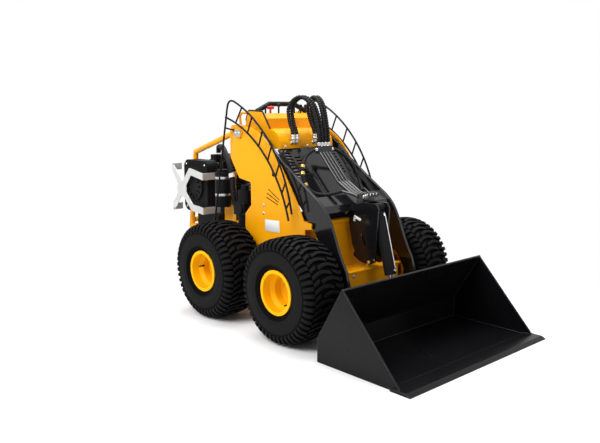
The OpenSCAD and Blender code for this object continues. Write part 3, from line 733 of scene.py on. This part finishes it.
# the top stub runs from one place to another: x, z
TOP_STUB = [(-680, 1060), (-660, 1045)]
# how far the stubs' feet lie inside the tower's outer face, which turns in at the top one
FRONT_SUNK = 0.5
TOP_SUNK = 3.5
# flange at a stub's foot: radius and height as shares of the rod's radius
STUB_FLANGE = (1.6, 0.8)


def tower_skin(name, side):
    """Y of the outer face of a tower's plate."""
    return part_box("tower_" + name)[0 if side < 0 else 1].y - side * TOWER_BOSS * MM


def on_arc(arc, degrees, y):
    x, z, radius = arc[:3]
    turn = math.radians(degrees)
    return at(x + radius * math.cos(turn), y, z + radius * math.sin(turn))


def whole_arc(arc, y):
    start, end = arc[3:]
    return [on_arc(arc, start + (end - start) * k / ARC_STEPS, y) for k in range(ARC_STEPS + 1)]


class LOADER_OT_guards(bpy.types.Operator):
    """Ladder-like side guards of round rod"""

    bl_idname = "loader.guards"
    bl_label = "Guards"

    def execute(self, context):
        rod = sizes().guard_rod
        for name, side in SIDES:
            y = side * GUARD_Y
            bm = bmesh.new()
            arc = whole_arc(OUTER_ARC, y)
            bend = [arc[-1]] + [at(x, y, z) for x, z in GUARD_BEND]
            add_rod(bm, arc[:-1] + round_corners(bend, BEND_RADIUS), rod)
            add_rod(bm, whole_arc(INNER_ARC, y), rod)
            for outer, inner in RUNGS:
                add_rod(bm, [on_arc(OUTER_ARC, outer, y), on_arc(INNER_ARC, inner, y)], rod * RUNG_SHARE)
            front = on_arc(INNER_ARC, STUB_ANGLE, y)
            knee, foot = [at(x, y, z) for x, z in TOP_STUB]
            for start, end, sunk in (
                (front, front + Vector(STUB_FALL) * MM, FRONT_SUNK),
                (knee, foot, TOP_SUNK),
            ):
                end.y = tower_skin(name, side) - side * sunk * MM
                add_rod(bm, [start, end], rod * RUNG_SHARE)
                add_sleeve(bm, end, (0, side, 0), *[rod * share for share in STUB_FLANGE])
            mesh = to_mesh(bm, "guard_rods")
            piece = add_piece("guard_rods_" + name, mesh, engine_black(), "chassis")
            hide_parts("guard_" + name)
        return {"FINISHED"}


# Hoses

CLAMP_X = -215
# hoses that loop from the console to the clamp: place across at the console and at the clamp
LOOPS = [(-120, -36), (-92, -12), (44, 12), (72, 36)]
# along one loop: x, height, share of the way across
LOOP_ROUTE = [
    (-332, 1002, 0), (-336, 1040, 0), (-366, 1100, 0.05), (-384, 1165, 0.15), (-362, 1214, 0.35),
    (-315, 1230, 0.55), (-266, 1194, 0.8), (-236, 1120, 0.95), (-217, 1030, 1), (CLAMP_X, 968, 1),
]
# hoses that ring out from the clamp to the couplings: x, distance from the middle, height
RING_ROUTE = [
    (CLAMP_X, 51, 945), (-213, 85, 943), (-205, 140, 915), (-180, 188, 865), (-158, 206, 815),
    (-135, 205, 768), (-98, 186, 732), (-55, 150, 722), (-12, 112, 732), (10, 84, 742),
]
INTAKE_ROUTE = [
    (-1125, -50, 883), (-1124, -51, 900), (-1105, -62, 922), (-1030, -96, 928), (-940, -148, 922),
    (-858, -192, 896), (-786, -224, 852), (-738, -237, 775), (-723, -237, 650), (-720, -205, 550),
    (-720, -180, 505), (-720, -178, 482),
]
RIB_DEPTH = 3 * MM
RING_RIB_DEPTH = 2.6 * MM


class LOADER_OT_hoses(bpy.types.Operator):
    """Hoses with ribbed sleeves"""

    bl_idname = "loader.hoses"
    bl_label = "Hoses"

    def execute(self, context):
        pitch = sizes().rib_pitch
        bm = bmesh.new()
        for start, end in LOOPS:
            route = [at(x, start + (end - start) * share, z) for x, z, share in LOOP_ROUTE]
            add_ribbed_hose(bm, route, sizes().hose, pitch, RIB_DEPTH)
        loops = add_piece("loop_hoses", to_mesh(bm, "loop_hoses"), hose_rubber(), None)
        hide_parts("hose_loops")
        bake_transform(loops)
        bm = bmesh.new()
        for _, side in SIDES:
            add_ribbed_hose(bm, on_side(RING_ROUTE, side), sizes().ring_hose, pitch, RING_RIB_DEPTH)
        rings = add_piece("ring_hoses", to_mesh(bm, "ring_hoses"), hose_rubber(), "arm")
        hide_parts("arm_hoses")
        bm = bmesh.new()
        route = [at(*place) for place in INTAKE_ROUTE]
        add_ribbed_hose(bm, route, sizes().intake, pitch, RIB_DEPTH)
        mesh = to_mesh(bm, "intake_sleeve")
        intake = add_piece("intake_sleeve", mesh, hose_rubber(), "chassis")
        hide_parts("intake_hose")
        return {"FINISHED"}


# Hose fittings

# sizes of bolts and turned fittings are pairs of radius and height

# step between the points of a plain bent rod
ROD_STEP = 6 * MM
# lip at the foot of a ferrule or collar
LIP = 1.5 * MM
# elbows on the console: x of their foot and of the hose, height of the foot and of the hose's end
ELBOW_FOOT_X = -347
ELBOW_X = -332
ELBOW_FOOT_Z = 980
ELBOW_Z = 1000
# an elbow is thinner than its hose and reaches this far into its ferrule
ELBOW_SHARE = 0.75
ELBOW_REACH = 4
ELBOW_BEND = 10 * MM
FOOT_NUT_SHARE = 0.95
FOOT_NUT_HEIGHT = 5 * MM
FERRULE_WALL = 1.6 * MM
FERRULE_HEIGHT = 26 * MM
# clamp on the arm: top, sleeves just over it round the hoses, bolts in front of them
CLAMP_TOP = 965
CLAMP_SLEEVE_FOOT = CLAMP_TOP + 1
CLAMP_SLEEVE_WALL = 0.4 * MM
CLAMP_SLEEVE_HEIGHT = 20 * MM
CLAMP_BOLTS_X = CLAMP_X + 11
CLAMP_BOLTS_Y = (-24, 0, 24)
CLAMP_BOLT = (4 * MM, 5 * MM)
# where the ring hoses leave the clamp: distance from the middle, height
RING_FOOT = (49, 945)
RING_SLEEVE = (11 * MM, 22 * MM)
# couplings at the pipes' lower ends: foot x and z, lean from upright in degrees
COUPLING_FOOT = (114, 712.4)
COUPLING_LEAN = 70
# nuts of one coupling: step along it, radius
COUPLING_NUTS = [(6, 11.4), (20, 11.4), (34, 10.6)]
COUPLING_NUT_HEIGHT = 11 * MM
# pipes from the ring hoses to the couplings: x, distance from the middle, height
COUPLING_PIPE = [(10, 84, 742), (48, 70, 733), (90, 48, 716)]
COUPLING_PIPE_RADIUS = 6 * MM
# collars on the right ring hose, as shares of its length
COLLARS = (0.34, 0.42, 0.55)
COLLAR = (12.5 * MM, 16 * MM)
COLLAR_STEP = 4 * MM


def console_elbows():
    hose = sizes().hose
    bm = bmesh.new()
    for y, _ in LOOPS:
        foot = at(ELBOW_FOOT_X, y, ELBOW_FOOT_Z)
        bend = [foot, at(ELBOW_X, y, ELBOW_FOOT_Z), at(ELBOW_X, y, ELBOW_Z + ELBOW_REACH)]
        add_rod(bm, round_corners(bend, ELBOW_BEND), hose * ELBOW_SHARE)
        add_sleeve(bm, foot, (1, 0, 0), hose * FOOT_NUT_SHARE, FOOT_NUT_HEIGHT)
        add_sleeve(bm, at(ELBOW_X, y, ELBOW_Z), UP, hose + FERRULE_WALL, FERRULE_HEIGHT, LIP)
    add_piece("console_elbows", to_mesh(bm, "console_elbows"), bright_steel(), "chassis")


def arm_fittings():
    lean = math.radians(COUPLING_LEAN)
    along = Vector((math.sin(lean), 0, math.cos(lean)))
    bm = bmesh.new()
    for _, y in LOOPS:
        foot = at(CLAMP_X, y, CLAMP_SLEEVE_FOOT)
        add_sleeve(bm, foot, UP, sizes().hose + CLAMP_SLEEVE_WALL, CLAMP_SLEEVE_HEIGHT)
    for y in CLAMP_BOLTS_Y:
        add_bolt(bm, at(CLAMP_BOLTS_X, y, CLAMP_TOP), UP, *CLAMP_BOLT)
    for _, y in LOOPS:
        foot = at(COUPLING_FOOT[0], y, COUPLING_FOOT[1])
        for step, radius in COUPLING_NUTS:
            add_sleeve(bm, foot + along * step * MM, along, radius * MM, COUPLING_NUT_HEIGHT)
    for _, side in SIDES:
        foot = at(CLAMP_X, side * RING_FOOT[0], RING_FOOT[1])
        add_sleeve(bm, foot, (0, side, 0), *RING_SLEEVE, LIP)
    add_piece("arm_fittings", to_mesh(bm, "arm_fittings"), bright_steel(), "arm")


def coupling_pipes():
    bm = bmesh.new()
    for _, side in SIDES:
        add_rod(bm, smooth_route(on_side(COUPLING_PIPE, side), ROD_STEP), COUPLING_PIPE_RADIUS)
    add_piece("coupling_pipes", to_mesh(bm, "coupling_pipes"), pipe_paint(), "arm")


def ring_collars():
    ring = smooth_route(on_side(RING_ROUTE, -1), COLLAR_STEP)
    bm = bmesh.new()
    for share in COLLARS:
        k = int(share * len(ring))
        add_sleeve(bm, ring[k], ring[k + 1] - ring[k], *COLLAR, LIP)
    add_piece("ring_collars", to_mesh(bm, "ring_collars"), zinc(), "arm")


class LOADER_OT_fittings(bpy.types.Operator):
    """Elbows, nuts, couplings and collars at the hoses' ends"""

    bl_idname = "loader.fittings"
    bl_label = "Hose fittings"

    def execute(self, context):
        console_elbows()
        arm_fittings()
        coupling_pipes()
        ring_collars()
        return {"FINISHED"}


# Small fittings

# edge of a console cheek: x, z
CHEEK_EDGE = [(-650, 1100), (-628, 1157), (-502, 1153), (-436, 1058)]
CHEEK_HALF = 3
EDGING_BEND = 12 * MM
EDGING_RADIUS = 5 * MM


class LOADER_OT_console_trim(bpy.types.Operator):
    """Rubber edging along the console's cheeks"""

    bl_idname = "loader.console_trim"
    bl_label = "Console trim"

    def execute(self, context):
        low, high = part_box("console")
        bm = bmesh.new()
        for y in (low.y / MM + CHEEK_HALF, high.y / MM - CHEEK_HALF):
            add_rod(bm, round_corners([at(x, y, z) for x, z in CHEEK_EDGE], EDGING_BEND), EDGING_RADIUS)
        add_piece("console_edging", to_mesh(bm, "console_edging"), hose_rubber(), "chassis")
        return {"FINISHED"}


# bolts: x, y, z, direction, radius, height; the last column says if they stand on both sides
BOLTS = [
    (-398, -280, 645, (0, -1, 0), 6, 4, True),
    (-398, -280, 599, (0, -1, 0), 6, 4, True),
    (-624, -294.5, 1030, (0, -1, 0), 6, 5, True),
    (-596, -294.5, 1030, (0, -1, 0), 6, 5, True),
    (-345, -165, 962, (1, 0, 0), 5, 4, True),
    (-345, 0, 962, (1, 0, 0), 5, 4, False),
    (-560, -199.6, 1090, (0, -1, 0), 5, 4, True),
    (165, -150, 320, (1, 0, 0), 7, 5, True),
]


class LOADER_OT_bolts(bpy.types.Operator):
    """Bolt heads on the towers, console and tub"""

    bl_idname = "loader.bolts"
    bl_label = "Bolts"

    def execute(self, context):
        bm = bmesh.new()
        for x, y, z, direction, radius, height, both in BOLTS:
            for side in (1, -1) if both else (1,):
                turned = Vector((direction[0], direction[1] * side, direction[2]))
                add_bolt(bm, at(x, y * side, z), turned, radius * MM, height * MM)
        add_piece("bolts", to_mesh(bm, "bolts"), bright_steel(), "chassis")
        return {"FINISHED"}


# slanted slots of the towers: middle x, middle z, slope in degrees
TOWER_SLOTS = [(-312, 710, -29), (-320, 692, -23), (-325, 673, -19)]
SHADE_SHEET_SIZE = (103.6 * MM, 3 * MM, 6.8 * MM)
# the dark sheets' middle lies this far inside the tower's face
SHADE_SHEET_SUNK = 4
# softening of thin plates' edges
THIN_SOFT = 0.3 * MM


class LOADER_OT_slot_shade_sheets(bpy.types.Operator):
    """Dark sheets in the towers' slanted slots, as painted shade inside the towers"""

    bl_idname = "loader.slot_strips"
    bl_label = "Slot shade sheets"

    def execute(self, context):
        bm = bmesh.new()
        for name, side in SIDES:
            y = tower_skin(name, side) / MM - side * SHADE_SHEET_SUNK
            for x, z, slope in TOWER_SLOTS:
                add_block(bm, SHADE_SHEET_SIZE, at(x, y, z), THIN_SOFT, math.radians(-slope))
        # the dark sheets paint the shade inside the tower behind its slots
        add_piece("slot_strips", to_mesh(bm, "slot_strips"), hose_rubber(), "chassis")
        return {"FINISHED"}


# plate on the right tower: length, thickness and height, middle x and z, slope in radians
PLATE_LONG = 122
PLATE_THICK = 1.2
PLATE_HIGH = 65
PLATE_X = -325
PLATE_Z = 536
PLATE_SLOPE = -0.045
# its rivets: x, z
RIVETS = [(-379, 562), (-270, 566), (-379, 507), (-270, 511)]
RIVET_SUNK = 1
RIVET = (2.4 * MM, 1.4 * MM)
# band round the intake hose: from a place towards another
BAND_ENDS = [(-744, -236.5, 792), (-736, -237.5, 760)]
HOSE_BAND = (18.4 * MM, 26 * MM)
# clip on the arm's cheek: size and middle of its two blocks, and their slope in radians
CLIP_BLOCKS = [((50, 6, 14), (92, -49.2, 604)), ((12, 6, 30), (72, -49.2, 600))]
CLIP_SLOPE = 0.3
CLIP_SOFT = 2 * MM


class LOADER_OT_plates(bpy.types.Operator):
    """Blank plates and clips"""

    bl_idname = "loader.plates"
    bl_label = "Blank plates"

    def execute(self, context):
        skin = tower_skin("right", -1) / MM
        bm = bmesh.new()
        size = Vector((PLATE_LONG, PLATE_THICK, PLATE_HIGH)) * MM
        add_block(bm, size, at(PLATE_X, skin - PLATE_THICK / 2, PLATE_Z), THIN_SOFT, PLATE_SLOPE)
        for x, z in RIVETS:
            add_sleeve(bm, at(x, skin - RIVET_SUNK, z), (0, -1, 0), *RIVET)
        start, end = [at(*place) for place in BAND_ENDS]
        add_sleeve(bm, start, end - start, *HOSE_BAND)
        add_piece("blank_plates", to_mesh(bm, "blank_plates"), blank_plate(), "chassis")
        bm = bmesh.new()
        for size, place in CLIP_BLOCKS:
            add_block(bm, Vector(size) * MM, at(*place), CLIP_SOFT, CLIP_SLOPE)
        add_piece("arm_clip", to_mesh(bm, "arm_clip"), blank_plate(), "arm")
        return {"FINISHED"}


# bolts of the fan housing: depth of their face behind its outermost point, x and z from its middle
FAN_FACE = 16 * MM
FAN_BOLTS = [(-98, -134), (-98, 134), (98, -134), (98, 134)]
FAN_BOLT = (5 * MM, 4 * MM)
# bands round the air canister
BAND_FEET = [(-810, -253, 655), (-810, -253, 755)]
CANISTER_BAND = (47.2 * MM, 16 * MM)
FILLER_FOOT = (-1058, -120, 806)
FILLER_COLLAR = (18.5 * MM, 26 * MM)
FILLER_LIP = 2 * MM
# plug leads: x of the two cylinders, then the route as x from there, y, z
CYLINDERS_X = (-1125, -985)
LEAD_ROUTE = [
    (0, -98, 835), (0, -118, 840), (16, -136, 822), (28, -142, 770), (24, -132, 700), (20, -120, 662)
]
LEAD_RADIUS = 4 * MM
LEAD_SIDES = 8
# cap on a plug: y, z and direction
CAP_FOOT = (-96, 835)
CAP_LEAN = (0, -1, 0.2)
PLUG_CAP = (9 * MM, 26 * MM)


class LOADER_OT_engine_dress(bpy.types.Operator):
    """Plug leads, bolts, bands and the filler's collar on the engine"""

    bl_idname = "loader.engine_dress"
    bl_label = "Engine dress"

    def execute(self, context):
        low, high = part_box("engine_fan_housing")
        middle = (low + high) / 2
        middle.y = low.y + FAN_FACE
        bm = bmesh.new()
        for x, z in FAN_BOLTS:
            add_bolt(bm, middle + Vector((x, 0, z)) * MM, Vector((0, -1, 0)), *FAN_BOLT)
        for foot in BAND_FEET:
            add_sleeve(bm, at(*foot), UP, *CANISTER_BAND)
        add_piece("engine_bands", to_mesh(bm, "engine_bands"), bright_steel(), "chassis")
        bm = bmesh.new()
        add_sleeve(bm, at(*FILLER_FOOT), UP, *FILLER_COLLAR, FILLER_LIP)
        add_piece("filler_collar", to_mesh(bm, "filler_collar"), zinc(), "chassis")
        bm = bmesh.new()
        for cylinder in CYLINDERS_X:
            route = [at(cylinder + x, y, z) for x, y, z in LEAD_ROUTE]
            add_rod(bm, smooth_route(route, ROD_STEP), LEAD_RADIUS, LEAD_SIDES)
            add_sleeve(bm, at(cylinder, *CAP_FOOT), CAP_LEAN, *PLUG_CAP)
        add_piece("plug_leads", to_mesh(bm, "plug_leads"), hose_rubber(), "chassis")
        return {"FINISHED"}


# tilt cylinder: pin at its top and eye at its foot
TILT_TOP = Vector((190, 0, 665))
TILT_EYE = Vector((306, 0, 247))
# the line's bends: step along the cylinder, distance out from its axis
TILT_LINE = [(40, 28), (46, 38), (325, 38), (331, 28)]
TILT_LINE_BEND = 8 * MM
TILT_LINE_RADIUS = 2.8 * MM
# the nuts at the line's two ends
TILT_NUTS = [(40, 27), (331, 27)]
TILT_NUT = (8 * MM, 9 * MM)
# latch on the tub's ledge: lever, base and knob
LATCH_ROUTE = [(150, -66, 351), (168, -66, 362), (186, -66, 384)]
LATCH_RADIUS = 6 * MM
LATCH_FOOT = (150, -66, 350.5)
LATCH_BASE = (11 * MM, 8 * MM)
KNOB_FOOT = (184, -66, 381)
KNOB_LEAN = (0.6, 0, 0.8)
LATCH_KNOB = (8 * MM, 14 * MM)


class LOADER_OT_arm_dress(bpy.types.Operator):
    """Steel line along the tilt cylinder and the latch on the tub's ledge"""

    bl_idname = "loader.arm_dress"
    bl_label = "Arm dress"

    def execute(self, context):
        along = (TILT_EYE - TILT_TOP).normalized()
        ahead = Vector((-along.z, 0, along.x))
        run, nuts = [
            [at(*(TILT_TOP + along * step + ahead * out)) for step, out in places]
            for places in (TILT_LINE, TILT_NUTS)
        ]
        bm = bmesh.new()
        add_rod(bm, round_corners(run, TILT_LINE_BEND), TILT_LINE_RADIUS)
        for foot in nuts:
            add_sleeve(bm, foot, ahead, *TILT_NUT)
        add_piece("tilt_line", to_mesh(bm, "tilt_line"), chrome(), "tilt_barrel_c")
        bm = bmesh.new()
        lever = [at(*place) for place in LATCH_ROUTE]
        add_rod(bm, smooth_route(lever, ROD_STEP), LATCH_RADIUS)
        add_sleeve(bm, at(*LATCH_FOOT), UP, *LATCH_BASE)
        add_sleeve(bm, at(*KNOB_FOOT), KNOB_LEAN, *LATCH_KNOB)
        add_piece("ledge_latch", to_mesh(bm, "ledge_latch"), zinc(), "chassis")
        return {"FINISHED"}


# Finishes of the solids, and the stage

SLOT_FINISHES = {
    "paint": yellow_paint,
    "gloss_black": black_paint,
    "engine_black": engine_black,
    "rubber_hose": hose_rubber,
    "grip_foam": hose_rubber,
    "knob_red": red_plastic,
    "bright_steel": bright_steel,
    "rod_chrome": chrome,
    "tyre_rubber": tyre_rubber,
}
# nodes that look unlike the rest of their slot
NODE_FINISHES = {
    "bucket_shell": bucket_paint,
    "arm_pipes": pipe_paint,
    "engine_guard": plated_steel,
    "tilt_barrel": engine_black,
    **{"rim_" + wheel: rim_paint for wheel in WHEELS},
}


class LOADER_OT_finishes(bpy.types.Operator):
    """Finishes of the solids"""

    bl_idname = "loader.finishes"
    bl_label = "Finishes"

    def execute(self, context):
        for name, node in NODES.items():
            slot = node.data.materials[0].name.split(".")[0]
            maker = NODE_FINISHES.get(name) or SLOT_FINISHES[slot]
            node.data.materials.clear()
            node.data.materials.append(maker())
        return {"FINISHED"}


FLOOR_HALF = 30
# distances from the middle between which the floor turns to plain white
FLOOR_FADE = (1.0, 2.0)
# the sky's strength at the horizon and overhead, and the heights of a direction between which it changes
SKY_LOW = 0.5
SKY_HIGH = 0.2
SKY_SPAN = (0.0, 0.7)
# lamps: name, place, power, size
LAMPS = [
    ("key", (0.2, -3.6, 3.8), 240, 2.6),
    ("fill", (4.5, 0.5, 2.6), 40, 2.4),
    ("top", (-0.6, 0.6, 4.6), 260, 3.2),
]
LAMP_AIM = Vector((0, 0, 0.5))
# camera: place from the front axle, fall below the level and turn from straight across in degrees, lens
CAMERA_PLACE = (2.5498, -2.7083, 1.1911)
CAMERA_FALL = 9.51
CAMERA_TURN = 47.51
CAMERA_LENS = 41.97
CAMERA_SENSOR = 36


def seen_or_mirrored(tree):
    """1 for rays from the camera and for reflections, otherwise 0."""
    path = tree.nodes.new("ShaderNodeLightPath")
    either = tree.nodes.new("ShaderNodeMath")
    either.operation = "MAXIMUM"
    tree.links.new(path.outputs["Is Camera Ray"], either.inputs[0])
    tree.links.new(path.outputs["Is Glossy Ray"], either.inputs[1])
    return either.outputs["Value"]


def studio_world():
    """Light that is stronger from the horizon than from overhead, and plain white where it is seen."""
    world = bpy.data.worlds.new("studio")
    world.use_nodes = True
    tree = world.node_tree
    background = tree.nodes["Background"]
    background.inputs["Color"].default_value = (1, 1, 1, 1)
    place = tree.nodes.new("ShaderNodeTexCoord")
    split = tree.nodes.new("ShaderNodeSeparateXYZ")
    tree.links.new(place.outputs["Generated"], split.inputs["Vector"])
    sky = ranged(tree, split.outputs["Z"], SKY_LOW, SKY_HIGH, SKY_SPAN)
    strength = tree.nodes.new("ShaderNodeMapRange")
    tree.links.new(seen_or_mirrored(tree), strength.inputs["Value"])
    tree.links.new(sky, strength.inputs["To Min"])
    tree.links.new(strength.outputs["Result"], background.inputs["Strength"])
    return world


def floor_finish():
    """White paper that turns to plain white away from the machine, so that no horizon shows."""
    material = bpy.data.materials.new("pale_floor")
    material.use_nodes = True
    tree = material.node_tree
    shader = tree.nodes["Principled BSDF"]
    shader.inputs["Base Color"].default_value = (0.85, 0.85, 0.85, 1)
    shader.inputs["Roughness"].default_value = 0.7
    glow = tree.nodes.new("ShaderNodeEmission")
    place = tree.nodes.new("ShaderNodeTexCoord")
    far = tree.nodes.new("ShaderNodeVectorMath")
    far.operation = "LENGTH"
    tree.links.new(place.outputs["Object"], far.inputs[0])
    white = tree.nodes.new("ShaderNodeMath")
    white.operation = "MULTIPLY"
    tree.links.new(ranged(tree, far.outputs["Value"], span=FLOOR_FADE), white.inputs[0])
    tree.links.new(seen_or_mirrored(tree), white.inputs[1])
    mix = tree.nodes.new("ShaderNodeMixShader")
    tree.links.new(white.outputs["Value"], mix.inputs["Fac"])
    tree.links.new(shader.outputs["BSDF"], mix.inputs[1])
    tree.links.new(glow.outputs["Emission"], mix.inputs[2])
    tree.links.new(mix.outputs["Shader"], tree.nodes["Material Output"].inputs["Surface"])
    return material


def add_floor(scene):
    bm = bmesh.new()
    bmesh.ops.create_grid(bm, x_segments=1, y_segments=1, size=FLOOR_HALF)
    floor = bpy.data.objects.new("floor", to_mesh(bm, "floor"))
    scene.collection.objects.link(floor)
    floor.data.materials.append(floor_finish())


def add_lamp(scene, name, place, power, size):
    light = bpy.data.lights.new(name, "AREA")
    light.energy = power
    light.size = size
    lamp = bpy.data.objects.new(name, light)
    scene.collection.objects.link(lamp)
    lamp.location = place
    lamp.rotation_euler = (LAMP_AIM - lamp.location).to_track_quat("-Z", "Y").to_euler()


def add_camera(scene):
    camera = bpy.data.objects.new("camera", bpy.data.cameras.new("camera"))
    scene.collection.objects.link(camera)
    camera.data.lens = CAMERA_LENS
    camera.data.sensor_width = CAMERA_SENSOR
    camera.location = Vector(CAMERA_PLACE) + Vector((AXLE_X, 0, 0))
    camera.rotation_euler = (math.radians(90 - CAMERA_FALL), 0, math.radians(CAMERA_TURN))
    scene.camera = camera


class LOADER_OT_stage(bpy.types.Operator):
    """Pale floor, soft light and the camera"""

    bl_idname = "loader.stage"
    bl_label = "Stage"

    def execute(self, context):
        scene = context.scene
        scene.view_settings.view_transform = "Standard"
        scene.world = studio_world()
        add_floor(scene)
        for lamp in LAMPS:
            add_lamp(scene, *lamp)
        add_camera(scene)
        return {"FINISHED"}


STEPS = (
    LOADER_OT_stage,
    LOADER_OT_finishes,
    LOADER_OT_tyres,
    LOADER_OT_valves,
    LOADER_OT_guards,
    LOADER_OT_hoses,
    LOADER_OT_fittings,
    LOADER_OT_console_trim,
    LOADER_OT_bolts,
    LOADER_OT_slot_shade_sheets,
    LOADER_OT_plates,
    LOADER_OT_engine_dress,
    LOADER_OT_arm_dress,
)


class LOADER_PT_panel(bpy.types.Panel):
    """The loader's pieces, each built by its operator"""

    bl_idname = "LOADER_PT_panel"
    bl_label = "Loader"
    bl_space_type = "VIEW_3D"
    bl_region_type = "UI"
    bl_category = "Loader"

    def draw(self, context):
        for step in STEPS:
            self.layout.operator(step.bl_idname)
        for group in (context.scene.loader_colours, context.scene.loader_sizes):
            box = self.layout.box()
            for name in group.__annotations__:
                box.prop(group, name)


CLASSES = (LoaderColours, LoaderSizes, *STEPS, LOADER_PT_panel)


def register():
    for cls in CLASSES:
        bpy.utils.register_class(cls)
    bpy.types.Scene.loader_colours = PointerProperty(type=LoaderColours)
    bpy.types.Scene.loader_sizes = PointerProperty(type=LoaderSizes)


def unregister():
    del bpy.types.Scene.loader_sizes
    del bpy.types.Scene.loader_colours
    for cls in reversed(CLASSES):
        bpy.utils.unregister_class(cls)


def main():
    register()
    for step in STEPS:
        group, name = step.bl_idname.split(".")
        getattr(getattr(bpy.ops, group), name)()


if __name__ == "__main__":
    main()
